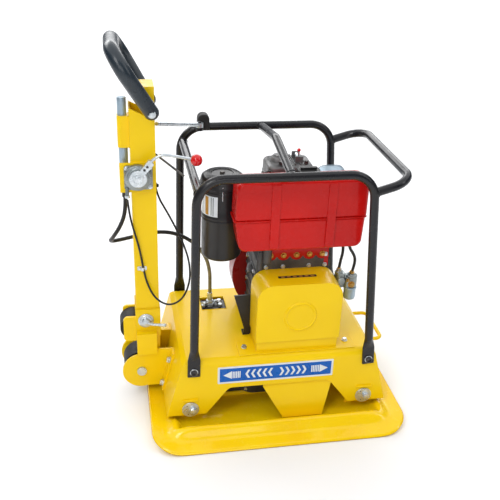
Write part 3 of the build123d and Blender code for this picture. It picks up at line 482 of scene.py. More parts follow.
# ---- cords --------------------------------------------------------------
HOSE_POINTS = [
    (-0.439, -0.010, 0.700), (-0.439, -0.009, 0.648), (-0.456, 0.000, 0.594),
    (-0.480, 0.020, 0.548), (-0.492, 0.062, 0.514), (-0.458, 0.100, 0.500),
    (-0.398, 0.102, 0.512), (-0.338, 0.102, 0.522), (-0.280, 0.101, 0.512),
    (-0.228, 0.102, 0.478), (-0.190, 0.104, 0.428), (-0.175, 0.107, 0.372),
    (-0.173, 0.112, 0.318), (-0.173, 0.112, 0.262),
]
CABLE_POINTS = [
    (-0.434, -0.056, 0.700), (-0.430, -0.056, 0.650), (-0.418, -0.053, 0.596),
    (-0.405, -0.048, 0.540), (-0.397, -0.046, 0.482), (-0.387, -0.050, 0.424),
    (-0.364, -0.061, 0.374), (-0.322, -0.073, 0.352), (-0.280, -0.070, 0.372),
    (-0.256, -0.048, 0.418), (-0.254, -0.018, 0.470), (-0.270, 0.006, 0.522),
    (-0.294, 0.016, 0.576), (-0.320, 0.019, 0.630), (-0.344, 0.016, 0.676),
    (-0.351, 0.008, 0.716),
]
TANK_HOSE_POINTS = [
    (0.208, -0.125, 0.568), (0.215, -0.124, 0.545), (0.230, -0.120, 0.524),
    (0.240, -0.113, 0.501), (0.240, -0.108, 0.475), (0.236, -0.105, 0.450),
]
PUMP_HOSE_POINTS = [
    (0.194, -0.116, 0.568), (0.198, -0.115, 0.543), (0.198, -0.112, 0.518),
    (0.195, -0.108, 0.494), (0.194, -0.105, 0.470),
]


def route(name, points, diameter):
    """A smooth curve with the route's points as its control points.

    The thickness is in the points' radius, so that the curve's bounding box is its true one.
    """
    data = bpy.data.curves.new(name, "CURVE")
    data.dimensions = "3D"
    data.resolution_u = 12
    data.bevel_depth = 1.0
    data.bevel_resolution = 4
    data.use_fill_caps = True
    spline = data.splines.new("NURBS")
    spline.points.add(len(points) - 1)
    for point, place in zip(spline.points, points):
        point.co = (*place, 1)
        point.radius = diameter / 2
    spline.order_u = 3
    spline.use_endpoint_u = True
    return bpy.data.objects.new(name, data)


def centreline(curve):
    """Points that a route's curve passes through."""
    depth = curve.data.bevel_depth
    curve.data.bevel_depth = 0
    mesh = bpy.data.meshes.new_from_object(curve)
    curve.data.bevel_depth = depth
    points = [v.co.copy() for v in mesh.vertices]
    bpy.data.meshes.remove(mesh)
    return points


def run_length(points):
    """Length of a path of points."""
    return sum((b - a).length for a, b in zip(points, points[1:]))


def add_hydraulic_hose():
    """The hose runs between the tow bar and the deck, so it is one mesh that rides on no body."""
    curve = route("hose_route", HOSE_POINTS, 0.012)
    path = centreline(curve)
    bpy.data.objects.remove(curve)
    bm = bmesh.new()
    total = run_length(path)
    sleeve_start = next(i for i in range(len(path)) if run_length(path[: i + 1]) > 0.70 * total)
    points = [p / MM for p in path]
    tube_mesh(bm, points, 6.0, 18)
    for face in bm.faces:
        middle = face.calc_center_median()
        if middle.z < path[sleeve_start].z and middle.x > -0.26:
            face.material_index = 1
    hose = finish_mesh("hydraulic_hose_line", bm, ["hose_rubber", "sleeve"],
                       body=None, replaced=["hydraulic_hose"])
    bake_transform(hose)


def add_cable(name, points, diameter, body, replaced):
    """A cord that rides on one body."""
    curve = route(name, points, diameter)
    bpy.context.scene.collection.objects.link(curve)
    curve.data.materials.append(MATERIALS["hose_rubber"])
    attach(curve, body)
    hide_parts(replaced)
    run_length(centreline(curve))


def add_cords():
    """The machine's two long lines and the engine's two short fuel hoses."""
    add_hydraulic_hose()
    add_cable("throttle_cable_line", CABLE_POINTS, 0.006, "tow_bar", "throttle_cable")
    add_cable("tank_fuel_line", TANK_HOSE_POINTS, 0.009, "machine", "fuel_hose_tank")
    add_cable("pump_fuel_line", PUMP_HOSE_POINTS, 0.009, "machine", "fuel_hose_pump")


# ---- base plate ---------------------------------------------------------
PLATE_A, PLATE_B, PLATE_CORNER = 395.0, 347.0, 80.0
SOLE_FLAT, LIP_RISE, PLATE_THICK = 290.0, 26.0, 14.0


def sole_height(x):
    """Height of the sole's underside, from an arc at each end."""
    run = PLATE_A - SOLE_FLAT
    radius = run ** 2 / (2 * LIP_RISE) + LIP_RISE / 2
    past = max(0.0, abs(x) - SOLE_FLAT)
    return radius - sqrt(max(0.0, radius ** 2 - past ** 2))


def ease(value, low, high):
    """A smooth step from 0 at low to 1 at high."""
    t = min(1.0, max(0.0, (value - low) / (high - low)))
    return t * t * (3 - 2 * t)


def edge_distance(x, y):
    """How far a point lies inside the plate's rounded outline."""
    inside_x, inside_y = PLATE_A - abs(x), PLATE_B - abs(y)
    if inside_x < PLATE_CORNER and inside_y < PLATE_CORNER:
        return PLATE_CORNER - sqrt((PLATE_CORNER - inside_x) ** 2 + (PLATE_CORNER - inside_y) ** 2)
    return min(inside_x, inside_y)


def plate_top(x, y):
    """The plate's upper surface: a sloping flange, a rounded rim, then the tray."""
    depth = edge_distance(x, y)
    flange = 8.5 + 12.5 * min(1.0, max(0.0, depth) / 44)
    along_side = 1 - ease(abs(x), 286, 356)
    if PLATE_B - abs(y) > 130:
        along_side = 0.0
    rim = ease(depth, 38, 66) * (1 - ease(depth, 70, 98))
    tray = ease(depth, 82, 110)
    level = flange * (1 - tray) + PLATE_THICK * tray
    return sole_height(x) + level * ease(depth, -1.5, 4) + rim * (9.0 + 20.5 * along_side)


def add_base_plate():
    """The cast plate with its rim and groove, then its mount lugs and seat."""
    bm = bmesh.new()
    ring_steps, turns = 56, 240
    outer = []
    for i in range(turns):
        angle = 2 * pi * i / turns
        low, high = 0.0, 700.0
        for _ in range(30):
            middle = (low + high) / 2
            if edge_distance(middle * cos(angle), middle * sin(angle)) > 0:
                low = middle
            else:
                high = middle
        outer.append((low * cos(angle), low * sin(angle)))
    rings = []
    for step in range(ring_steps):
        share = 1 - (step / ring_steps) ** 1.15
        rings.append([bm.verts.new(mm(x * share, y * share, plate_top(x * share, y * share))) for x,
                      y in outer])
    centre = bm.verts.new(mm(0, 0, plate_top(0, 0)))
    under = [bm.verts.new(mm(x * 0.985, y * 0.985, sole_height(x * 0.985))) for x, y in outer]
    rim = [bm.verts.new(mm(x, y, sole_height(x) + 3.0)) for x, y in outer]
    under_rings = [under]
    for share in (0.9, 0.8, 0.7, 0.6, 0.4, 0.2):
        under_rings.append([bm.verts.new(mm(x * share, y * share, sole_height(x * share))) for x,
                            y in outer])
    for i in range(turns):
        j = (i + 1) % turns
        for low, high in zip(rings, rings[1:]):
            bm.faces.new((low[i], low[j], high[j], high[i]))
        bm.faces.new((rings[-1][i], rings[-1][j], centre))
        bm.faces.new((rim[i], rim[j], rings[0][j], rings[0][i]))
        bm.faces.new((under[i], under[j], rim[j], rim[i]))
        for low, high in zip(under_rings, under_rings[1:]):
            bm.faces.new((low[j], low[i], high[i], high[j]))
    bm.faces.new(under_rings[-1])
    finish_mesh("base_plate_casting", bm, ["plate_paint"], replaced=["base_plate"],
                smooth=60)
    bm = bmesh.new()
    for x, side in MOUNTS:
        outline = rounded([(x - 44, 8), (x - 36, 78), (x - 22, 108), (x + 22, 108), (x + 36, 78),
                           (x + 44, 8)], [0, 14, 14, 14, 14, 0])
        add_prism(bm, "y", outline, *sorted((side * 164, side * 178)))
        rib = rounded([(side * 100, 12), (side * 165, 12), (side * 165, 88), (side * 150, 88)],
                      [0, 0, 0, 8])
        add_prism(bm, "x", rib, x - 6, x + 6)
    add_block(bm, (-158, -96, 10), (158, 136, 26))
    finish_mesh("base_plate_lugs", bm, ["plate_paint"], bevel=2.5)


# ---- console, sign, bolts -----------------------------------------------
def add_mounts():
    """Rubber mounts with a waist, between the lugs and the console's side plates."""
    profile = [(0, 0), (30, 0), (31, 2)]
    for step in range(9):
        t = step / 8
        profile.append((29.5 + 2.4 * cos((t - 0.5) * 2 * pi), 4 + 31 * t))
    profile += [(31, 37), (30, 39), (0, 39)]
    bm = bmesh.new()
    for x, side in MOUNTS:
        add_lathe(bm, (x, side * 178, MOUNT_Z), (0, side, 0), profile, 40)
    finish_mesh("shear_mounts", bm, ["rubber"], replaced=["rubber_mounts"])


def rear_wall_x(z):
    """Where the console's sloping rear wall stands at a height."""
    return -(346 + (299 - 346) * (z - 50) / 177)


def add_console_bolts():
    """Mount washers and bolts, post-foot bolts, hinge bolts and the guard's bolts."""
    bm = bmesh.new()
    washer = [(0, 0), (25.6, 0), (26, 0.8), (26, 3.4), (25.2, 4), (0, 4)]
    dimple_shade_dot = [(0, 0), (1.8, 0), (1.5, 0.5), (0, 0.6)]
    for x, side in MOUNTS:
        out = (0, side, 0)
        add_lathe(bm, (x, side * 222, MOUNT_Z), out, washer, 56)
        add_hex_bolt(bm, (x + 7, side * 226, MOUNT_Z - 1), out, 17, 9, washer=11.5, thick=1.8)
        # Three dark dots on each washer are painted shade in its dimples.
        for turn in range(3):
            angle = 2.2 + turn * 2 * pi / 3
            place = (x + 18 * cos(angle), side * 226, MOUNT_Z + 18 * sin(angle))
            add_lathe(bm, place, out, dimple_shade_dot, 10, 1)
    for x in (-264, 275):
        for side in (-1, 1):
            add_hex_bolt(bm, (x, side * 229, 212), (0, side, 0), 17, 7, washer=12, thick=2,
                         material=1, washer_material=0, socket_head=True)
    slope = Vector((-177, 0, 47)).normalized()
    for y in (-76, 76):
        for z in (155, 70):
            place = Vector((rear_wall_x(z), y, z)) + slope * 6
            add_hex_bolt(bm, place, slope, 16, 7, washer=11, thick=2)
    for x in (-104, 214):
        add_hex_bolt(bm, (x, -165, DECK_Z + 3), UP, 13, 5.5, washer=9, thick=1.5)
    finish_mesh("console_fasteners", bm, ["zinc", "dark_bolt"], replaced=["console_bolts"],
                smooth=30)


def add_console_trim():
    """Folded tabs over the mounts and the lip of the deck's slot."""
    bm = bmesh.new()
    for x, side in MOUNTS:
        outline = rounded([(x - 25, 105.5), (x + 25, 105.5), (x + 24, 109), (x - 24, 109)], 1.2, 3)
        add_prism(bm, "y", outline, *sorted((side * 221.8, side * 229)))
    slot_edge = [(*p, DECK_Z) for p in rectangle(-204, 72, -122, 150)]
    tube_mesh(bm, slot_edge, 1.4, 8, closed=True)
    finish_mesh("console_tabs", bm, ["yellow_paint"], bevel=0.8)


def add_sign():
    """A blue plate with a white rim, an arrow each way and a row of plain chevrons."""
    low, high = corners("direction_plate")
    x0, x1, z0, z1 = low.x, high.x, low.z, high.z
    front = low.y
    middle = (z0 + z1) / 2
    bm = bmesh.new()
    add_prism(bm, "y", rounded(rectangle(x0, z0, x1, z1), 3), front + 0.3, high.y, 1)
    field = rounded(rectangle(x0 + 6, z0 + 6, x1 - 6, z1 - 6), 1.5)
    add_prism(bm, "y", field, front + 0.12, front + 0.4, 0)
    for side, tip in ((-1, x0 + 17), (1, x1 - 17)):
        head = [(tip, middle), (tip - side * 26, middle - 14), (tip - side * 26, middle + 14)]
        add_prism(bm, "y", head if side > 0 else head[::-1], front, front + 0.2, 1)
        for stripe in range(5):
            a = tip - side * (28 + stripe * 5.2)
            b = a - side * 3.3
            bar = rectangle(min(a, b), middle - 12, max(a, b), middle + 12)
            add_prism(bm, "y", bar, front, front + 0.2, 1)
    for number in range(5):
        for side in (-1, 1):
            x = (x0 + x1) / 2 + side * (10 + number * 17.5)
            points = [(x, middle - 15), (x + side * 7, middle - 15), (x + side * 15, middle),
                      (x + side * 7, middle + 15), (x, middle + 15), (x + side * 8, middle)]
            add_prism(bm, "y", points, front, front + 0.2, 1)
    finish_mesh("direction_sign", bm, ["sign_blue", "sign_white"],
                replaced=["direction_plate"], smooth=20)


def add_guard_details():
    """Soft raised disc and a plain black strip with tan marks on the belt guard."""
    high = corners("belt_guard")[1]
    bm = bmesh.new()
    profile = [(0, 1.9), (38, 1.9)]
    for step in range(11):
        t = step / 10
        profile.append((40 + 10 * t, 1.0 + 3.4 * sin(pi * t) ** 0.8))
    profile.append((51, -0.5))
    add_lathe(bm, (CRANK_X + 3, -200, CRANK_Z), NEAR, profile, 72)
    finish_mesh("guard_disc", bm, ["yellow_paint"], smooth=80)
    bm = bmesh.new()
    strip = rounded(rectangle(-6, -156, 111, -143), 3, 4)
    add_prism(bm, "z", strip, high.z - 0.4, high.z + 0.5)
    finish_mesh("guard_strip", bm, ["black_plastic"], bevel=0.2)
    bm = bmesh.new()
    for number in range(6):
        x = 3 + number * 18
        add_block(bm, (x, -152.5, high.z + 0.4), (x + 11, -146.5, high.z + 0.8))
    finish_mesh("guard_strip_marks", bm, ["label_tan"])


# ---- engine -------------------------------------------------------------
def add_tank():
    """Two pressed halves with a rolled seam, two strap ribs and a bracket."""
    bm = bmesh.new()
    for half, y0, y1 in ((TANK_LOWER, -169, -95), (TANK_UPPER, -172, -92)):
        add_prism(bm, "y", rounded(half, [0, 24, 24, 0], 9), y0, y1)
    finish_mesh("fuel_tank_shell", bm, ["red_paint"], bevel=9, segments=6,
                replaced=["fuel_tank"])
    bm = bmesh.new()
    seam = rounded(rectangle(-146.5, -173.8, 242.5, -90.2), 14, 6)
    add_prism(bm, "z", seam, TANK_SEAM - 2, TANK_SEAM + 1.4)
    for x0, x1 in STRAPS:
        add_prism(bm, "z", rectangle(x0, -175.8, x1, -168), 582, 777)
    finish_mesh("fuel_tank_seam", bm, ["red_paint"], bevel=1.6)
    bm = bmesh.new()
    for x0, x1 in STRAPS:
        outline = rounded(rectangle(-174.6, 573, -96, 785.9), 12, 6)
        add_prism(bm, "x", outline, x0 + 2, x1 - 2)
    neck = [(20, 780), (27, 780), (27, 788), (25, 789), (20, 789)]
    add_lathe(bm, (CAP_X, CAP_Y, 0), UP, neck, 40)
    finish_mesh("fuel_tank_straps", bm, ["red_paint"], bevel=1.5)
    bm = bmesh.new()
    scallops = [(-40, 571)]
    for number in range(5):
        left = (number - 1) * BRACKET_PITCH
        scallops += [(left, 514), (left + 8, 504), (left + 20, 500.5), (left + 32, 504),
                     (left + BRACKET_PITCH, 514)]
    scallops.append((160, 571))
    add_prism(bm, "y", scallops, -96, -92)
    add_block(bm, (146, -95.9, 476), (160, -92, 516))
    add_block(bm, (-40, -150, 568), (160, -92, 571))
    finish_mesh("tank_bracket", bm, ["red_paint"], bevel=0.8)
    bm = bmesh.new()
    for number in range(5):
        x = (number - 0.5) * BRACKET_PITCH
        add_hex_bolt(bm, (x, -96, 518), NEAR, 12, 6, washer=9, thick=1.2)
    finish_mesh("bracket_bolts", bm, ["brass"], smooth=30)
    bm = bmesh.new()
    profile = [(0, 789.4), (33, 789.4), (34, 790.5), (34, 801), (32, 804.5), (20, 805), (0, 805)]
    add_lathe(bm, (CAP_X, CAP_Y, 0), UP, profile, 48)
    for angle in round_turn(24):
        place = (CAP_X + 33.6 * cos(angle), CAP_Y + 33.6 * sin(angle), 791)
        add_lathe(bm, place, UP, [(0, 0), (1.5, 0.5), (1.5, 9), (0, 10)], 8)
    wing = rounded(rectangle(CAP_X - 24, CAP_Y - 6, CAP_X + 24, CAP_Y + 6), 5, 4)
    add_prism(bm, "z", wing, 804, 811.6)
    finish_mesh("fuel_cap_cover", bm, ["black_plastic"], "filler_cap", bevel=0.8,
                replaced=["fuel_cap"])


def add_air_cleaner():
    """Steel bowl with pressed ribs, wire clips, elbow and a plain paper label."""
    x, y = CLEANER_X, CLEANER_Y
    bm = bmesh.new()
    profile = [(0, 497), (48, 497), (55, 499), (59, 504), (60, 511)]
    for z in (626, 636, 714):
        profile += [(60, z - 4), (61.4, z - 1.5), (61.4, z + 1.5), (60, z + 4)]
    profile += [(60, 719), (61, 720), (61, 724), (60, 725), (0, 725)]
    add_lathe(bm, (x, y, 0), UP, profile, 72)
    tube_mesh(bm, smooth_path([(-132, -22, 690), (-104, -20, 692), (-60, -14, 690), (-8, -10, 688)],
                              6), 16.5, 28)
    add_lathe(bm, (-16, -10.5, 688.3), (1, 0.06, 0), [(0, -5), (16.6, -5), (17, -4), (17, 4),
                                                      (16.6, 5), (0, 5)], 36, 1)
    finish_mesh("air_cleaner_bowl", bm, ["engine_black", "zinc"],
                replaced=["air_cleaner_body"])
    bm = bmesh.new()
    profile = [(0, 725), (63, 725), (66, 727), (66, 735), (64, 738), (63.5, 744), (60, 754),
               (50, 760.5), (33, 762), (31, 759.5), (10, 759.5), (0, 759.5)]
    add_lathe(bm, (x, y, 0), UP, profile, 72)
    finish_mesh("air_cleaner_cover", bm, ["engine_black"],
                replaced=["air_cleaner_lid"])
    bm = bmesh.new()
    add_hex_bolt(bm, (x, y, 756), UP, 13, 5, washer=9, thick=4, material=1, washer_material=1)
    for turn in (0.4, 2.5, 4.6):
        out = Vector((cos(turn), sin(turn), 0))
        foot = Vector((x, y, 0)) + out * 59.5
        tube_mesh(bm, [foot + Vector((0, 0, 696)), foot + out * 1.5 + Vector((0, 0, 706)),
                       foot + out * 4 + Vector((0, 0, 724)), foot + out * 5 + Vector((0, 0, 733)),
                       foot + out * 3.5 + Vector((0, 0, 739))], 1.4, 8)
    finish_mesh("air_cleaner_clips", bm, ["zinc", "dark_bolt"])
    bm = bmesh.new()
    start = -pi
    shell = [(60.35, 644), (60.6, 644.5), (60.6, 706.5), (60.35, 707)]
    add_lathe(bm, (x, y, 0), UP, shell, 24, 0, start, radians(70))
    for offset, wide, material in ((30, 12, 1), (50, 2, 2), (56, 2, 2), (16, 2, 2)):
        band = [(60.6, 647), (60.75, 647.3), (60.75, 703.7), (60.6, 704)]
        add_lathe(bm, (x, y, 0), UP, band, 8, material, start + radians(offset), radians(wide))
    finish_mesh("air_cleaner_label", bm, ["sign_white", "label_tan", "black_plastic"],
                smooth=30)


def add_muffler():
    """Silencer can with rolled seams, its inlet stub and its tail pipe."""
    side = rectangle(156, 630, 250, 726)
    bm = bmesh.new()
    add_prism(bm, "y", rounded(side, 28, 9), 0, 100)
    finish_mesh("muffler_can", bm, ["shield"], bevel=7, segments=4,
                replaced=["muffler"])
    bm = bmesh.new()
    for y in (1, 50, 99):
        tube_mesh(bm, [(x, y, z) for x, z in rounded(side, 28, 6)], 1.2, 8, closed=True)
    finish_mesh("muffler_seams", bm, ["shield"])
    bm = bmesh.new()
    tube_mesh(bm, [(114, 22, 680), (134, 22, 680), (160, 22, 680)], 16, 28)
    add_lathe(bm, (114, 22, 680), AHEAD, [(0, 0), (16, 0), (16, 6), (0, 6)], 6)
    profile = [(13, 0), (13, 37), (11, 37.5), (11, 12), (0, 12)]
    add_lathe(bm, (206, 98.5, 682), FAR, profile, 28)
    finish_mesh("exhaust_pipes", bm, ["cast_dark"], bevel=0.8)


def add_rocker_cover():
    """Cast cover with ribs, breather, bolts, injection lines and the start lever."""
    bm = bmesh.new()
    add_prism(bm, "z", rounded(rectangle(-26, -38, 112, 66), 22, 8), 730, 780)
    finish_mesh("rocker_cover_casting", bm, ["cast_alloy"], bevel=14, segments=6,
                replaced=["rocker_cover"])
    bm = bmesh.new()
    add_prism(bm, "z", rounded(rectangle(-29, -41, 115, 69), 22, 8), 722, 731)
    for number in range(5):
        x = 22 + 16 * number
        add_block(bm, (x, -30, 777), (x + 4, 58, 783))
    profile = [(0, 776), (22, 776), (22, 790), (19, 794), (14, 795), (14, 799), (0, 800)]
    add_lathe(bm, (12, 12, 0), UP, profile, 40)
    add_block(bm, (58, -16, 776), (82, -11, 800))
    add_block(bm, (58, 31, 776), (82, 36, 800))
    finish_mesh("rocker_cover_details", bm, ["cast_alloy"], bevel=1.2)
    bm = bmesh.new()
    for x in (-19, 105):
        for y in (-31, 59):
            add_hex_bolt(bm, (x, y, 731), UP, 12, 7, washer=8.5, thick=1.5)
    for x in (12, 88):
        add_hex_bolt(bm, (x, -30, 783), UP, 12, 8, washer=8, thick=1.5, material=1)
    tube_mesh(bm, smooth_path([(96, -34, 742), (104, -46, 764), (118, -50, 772), (130, -44, 752),
                               (126, -52, 700), (110, -64, 640), (100, -72, 590)], 8), 3, 12, 2)
    tube_mesh(bm, smooth_path([(-14, -36, 752), (-26, -44, 768), (-36, -40, 758), (-34, -36, 736),
                               (-20, -46, 690), (-10, -60, 640)], 8), 3, 12, 1)
    finish_mesh("rocker_fittings", bm, ["zinc", "dark_bolt", "copper"], smooth=32)
    bm = bmesh.new()
    profile = [(0, -20), (5.5, -20), (5.5, 20), (0, 20)]
    add_lathe(bm, (70, 10, 792.5), FAR, profile, 24)
    tube_mesh(bm, [(70, -4, 792), (70, -4, 802), (70, -4, 812)], 3.6, 14)
    add_lathe(bm, (70, -4, 816), UP, [(0, -5.4), (3, -4.6), (5, -2.2), (5.4, 0), (5, 2.2), (3, 4.6),
                                      (0, 5.4)], 24, 1)
    finish_mesh("decompression_handle", bm, ["zinc", "red_plastic"], "decompression",
                bevel=0.6, replaced=["decompression_lever"])


def add_engine_details():
    """Covers, ribs, bolts, filler and injection lines on the crankcase."""
    bm = bmesh.new()
    cover = rounded([(-38, 470), (-38, 562), (156, 562), (156, 470)], [6, 20, 20, 6], 6)
    add_prism(bm, "y", cover, -95.5, -92)
    for x in (-52, -30, 140, 160):
        add_block(bm, (x, -93.4, 262), (x + 4, -91.5, 470))
    for z in (300, 340, 380, 420, 460):
        add_block(bm, (166.5, -78, z), (171.5, 70, z + 5))
        add_block(bm, (-63.5, -78, z), (-58.5, 70, z + 5))
    add_lathe(bm, (-60, -20, 440), (-1, 0, 0.3), [(0, 0), (18, 0), (18, 10), (14, 13), (0, 13)], 28)
    add_prism(bm, "y", rounded([(-20, 512), (20, 512), (26, 566), (-26, 566)], 6, 4), -94, -60)
    add_lathe(bm, (-30, -99, 498), UP, [(0, 0), (12, 0), (13, 4), (13, 50), (16, 52), (16, 62),
                                        (9, 64), (9, 74), (0, 74)], 24)
    add_lathe(bm, (-48, -88, 470), UP, [(0, 0), (9, 0), (9, 60), (0, 60)], 20)
    finish_mesh("crankcase_details", bm, ["cast_grey"], bevel=1.2)
    bm = bmesh.new()
    for x, z in ((-32, 480), (-32, 516), (150, 480), (150, 516), (58, 556), (20, 480), (100, 480)):
        add_hex_bolt(bm, (x, -95.5, z), NEAR, 10, 5, washer=7, thick=1)
    for z in (290, 370, 450):
        for y in (-60, 50):
            add_hex_bolt(bm, (168, y, z), AHEAD, 11, 5, washer=8, thick=1)
            add_hex_bolt(bm, (-60, y, z), BACK, 11, 5, washer=8, thick=1)
    tube_mesh(bm, smooth_path([(-30, -70, 560), (-34, -84, 592), (-26, -80, 630), (-4, -62, 660)],
                              8), 6, 14)
    tube_mesh(bm, smooth_path([(146, -80, 520), (150, -96, 545), (146, -92, 566)], 6), 4, 12)
    finish_mesh("crankcase_fittings", bm, ["zinc"], smooth=32)
    bm = bmesh.new()
    for angle in range(0, 360, 45):
        turn = radians(angle + 20)
        place = (CRANK_X + 84 * cos(turn), STARTER_FACE - 0.2, CRANK_Z + 84 * sin(turn))
        add_hex_bolt(bm, place, FAR, 9, 4, washer=6.5, thick=1)
    for x, z in ((-62, 290), (170, 290), (-40, 620), (128, 620), (-90, 420)):
        add_hex_bolt(bm, (x, SHROUD_FACE, z), FAR, 10, 5, washer=8, thick=1)
    finish_mesh("shroud_bolts", bm, ["zinc"], smooth=32)
    bm = bmesh.new()
    hub = [(0, 0), (30, 0), (30, 2), (24, 3.5), (8, 4), (0, 4)]
    add_lathe(bm, (CRANK_X, STARTER_FACE, CRANK_Z), FAR, hub, 40)
    for radius in (52, 60, 68, 76):
        points = [(CRANK_X + radius * cos(a), STARTER_FACE + 0.2,
                   CRANK_Z + radius * sin(a)) for a in round_turn(40)]
        tube_mesh(bm, points, 1.2, 8, closed=True)
    finish_mesh("starter_grille", bm, ["engine_black"])
    bm = bmesh.new()
    direction = Vector((56, 0, -44)).normalized()
    middle = Vector((118, 198, 440))
    profile = [(0, -36), (7, -36), (10, -33), (8.8, -22), (9.6, -8), (8.6, 0), (9.6, 8), (8.8, 22),
               (10, 33), (7, 36), (0, 36)]
    add_lathe(bm, middle, direction, profile, 28)
    finish_mesh("starter_handle", bm, ["black_plastic"], "starter_grip",
                replaced=["recoil_grip"], smooth=50)


def add_fuel_filter():
    """Feed pump, filter head with its bowl, unions and the tank's spigots."""
    bm = bmesh.new()
    add_prism(bm, "z", rounded(rectangle(212, -118, 254, -84), 12, 5), 404, 440)
    add_prism(bm, "z", rounded(rectangle(186, -116, 214, -84), 8, 5), 406, 452)
    add_block(bm, (168, -91, 410), (188, -83, 438))
    add_lathe(bm, (236, FILTER_Y, 0), UP, [(0, 438), (17, 438), (18, 440), (18, 444), (11, 446),
                                           (11, 449), (0, 449)], 36)
    add_lathe(bm, (194, FILTER_Y, 0), UP, [(0, 450), (12, 450), (12, 458), (8, 460), (8, 468),
                                           (0, 468)], 30)
    add_lathe(bm, (200, -116, 430), NEAR, [(0, 0), (13, 0), (13, 5), (10, 8), (0, 8)], 30)
    finish_mesh("fuel_filter_body", bm, ["bright_alloy"], bevel=1.5,
                replaced=["fuel_filter"])
    bm = bmesh.new()
    bowl = [(0, 360), (12, 360.5), (17, 364), (18.5, 371), (18.5, 396), (20, 398), (20, 404),
            (0, 404)]
    add_lathe(bm, (235, FILTER_Y, 0), UP, bowl, 40)
    finish_mesh("fuel_filter_bowl", bm, ["shield"], smooth=50)
    bm = bmesh.new()
    for x, z in ((236, 449), (194, 462)):
        add_lathe(bm, (x, FILTER_Y, 0), UP, [(0, z - 2), (8.5, z - 2), (8.5, z + 5), (6, z + 6),
                                             (5.5, z + 10), (0, z + 10)], 6)
    for x, y in ((208, -125), (194, -116)):
        add_lathe(bm, (x, y, 0), UP, [(0, 560), (6, 560), (6.5, 566), (6.5, 577), (0, 577)], 20, 1)
    add_hex_bolt(bm, (234, -118, 416), NEAR, 15, 6, washer=11, thick=1.5)
    add_hex_bolt(bm, (222, -118, 432), NEAR, 9, 5, washer=6, thick=1)
    finish_mesh("fuel_unions", bm, ["brass", "zinc"], bevel=0.4, smooth=32)


# ---- tow bar ------------------------------------------------------------
def add_throttle_details():
    """Throttle case and its screws, the lever with its clamped rod, and the red ball."""
    bm = bmesh.new()
    base = rounded([(-441, 728), (-441, 800), (-361, 800), (-361, 728)], 8, 5)
    add_prism(bm, "y", base, -52, -45)
    profile = [(0, 0), (38, 0), (38, 12), (36, 14.5), (31, 15), (29, 16.8), (26, 17), (0, 17)]
    add_lathe(bm, (THROTTLE_X, -53, THROTTLE_Z), NEAR, profile, 64)
    tube_mesh(bm, [(-434, -51, 736), (-434, -54, 722), (-434, -56, 706)], 5.2, 20)
    finish_mesh("throttle_case", bm, ["bright_alloy"], "tow_bar", bevel=1.2,
                replaced=["throttle_housing"])
    bm = bmesh.new()
    for x, z in ((-434, 793), (-368, 793), (-368, 735), (-416, 733)):
        add_hex_bolt(bm, (x, -52, z), NEAR, 8, 3.5, washer=6, thick=0.8)
    add_lathe(bm, (-434, -56, 712), (0, 0.1, 1), [(0, -6), (7, -6), (7, 1), (0, 1)], 6)
    finish_mesh("throttle_screws", bm, ["zinc"], "tow_bar", smooth=32)
    bm = bmesh.new()
    profile = [(0, 0), (25, 0), (25, 3), (24, 4.2), (17, 4.6), (16, 5.6), (13, 5.8), (12, 4.8),
               (9, 4.8), (8.4, 8.4), (4, 8.9), (0, 8.9)]
    add_lathe(bm, (THROTTLE_X, -70.3, THROTTLE_Z), NEAR, profile, 48)
    outline = rounded([(-398, 795), (-384, 783), (-358, 813), (-372, 826)], 3, 4)
    add_prism(bm, "y", outline, -83, -71)
    for x, z in ((-385, 798), (-377, 807)):
        add_hex_bolt(bm, (x, -83, z), NEAR, 6, 2.5, washer=3.8, thick=0.5, material=1)
    rod = smooth_path([(-374, -78, 812), (-358, -79, 828), (-338, -80, 839), (-316, -80, 838),
                       (-256, -80, 825.5)], 8)
    tube_mesh(bm, rod, 4.4, 16)
    finish_mesh("throttle_arm", bm, ["zinc", "dark_bolt"], "throttle", bevel=0.5,
                replaced=["throttle_lever"])
    bm = bmesh.new()
    profile = [(0, -17)]
    for step in range(1, 16):
        angle = -pi / 2 + pi * step / 16
        profile.append((17 * cos(angle), 17 * sin(angle)))
    profile.append((0, 17))
    add_lathe(bm, (-241, -80, 822), (1, 0, -0.2), profile, 40)
    finish_mesh("throttle_ball", bm, ["red_plastic"], "throttle",
                replaced=["throttle_knob"], smooth=80)


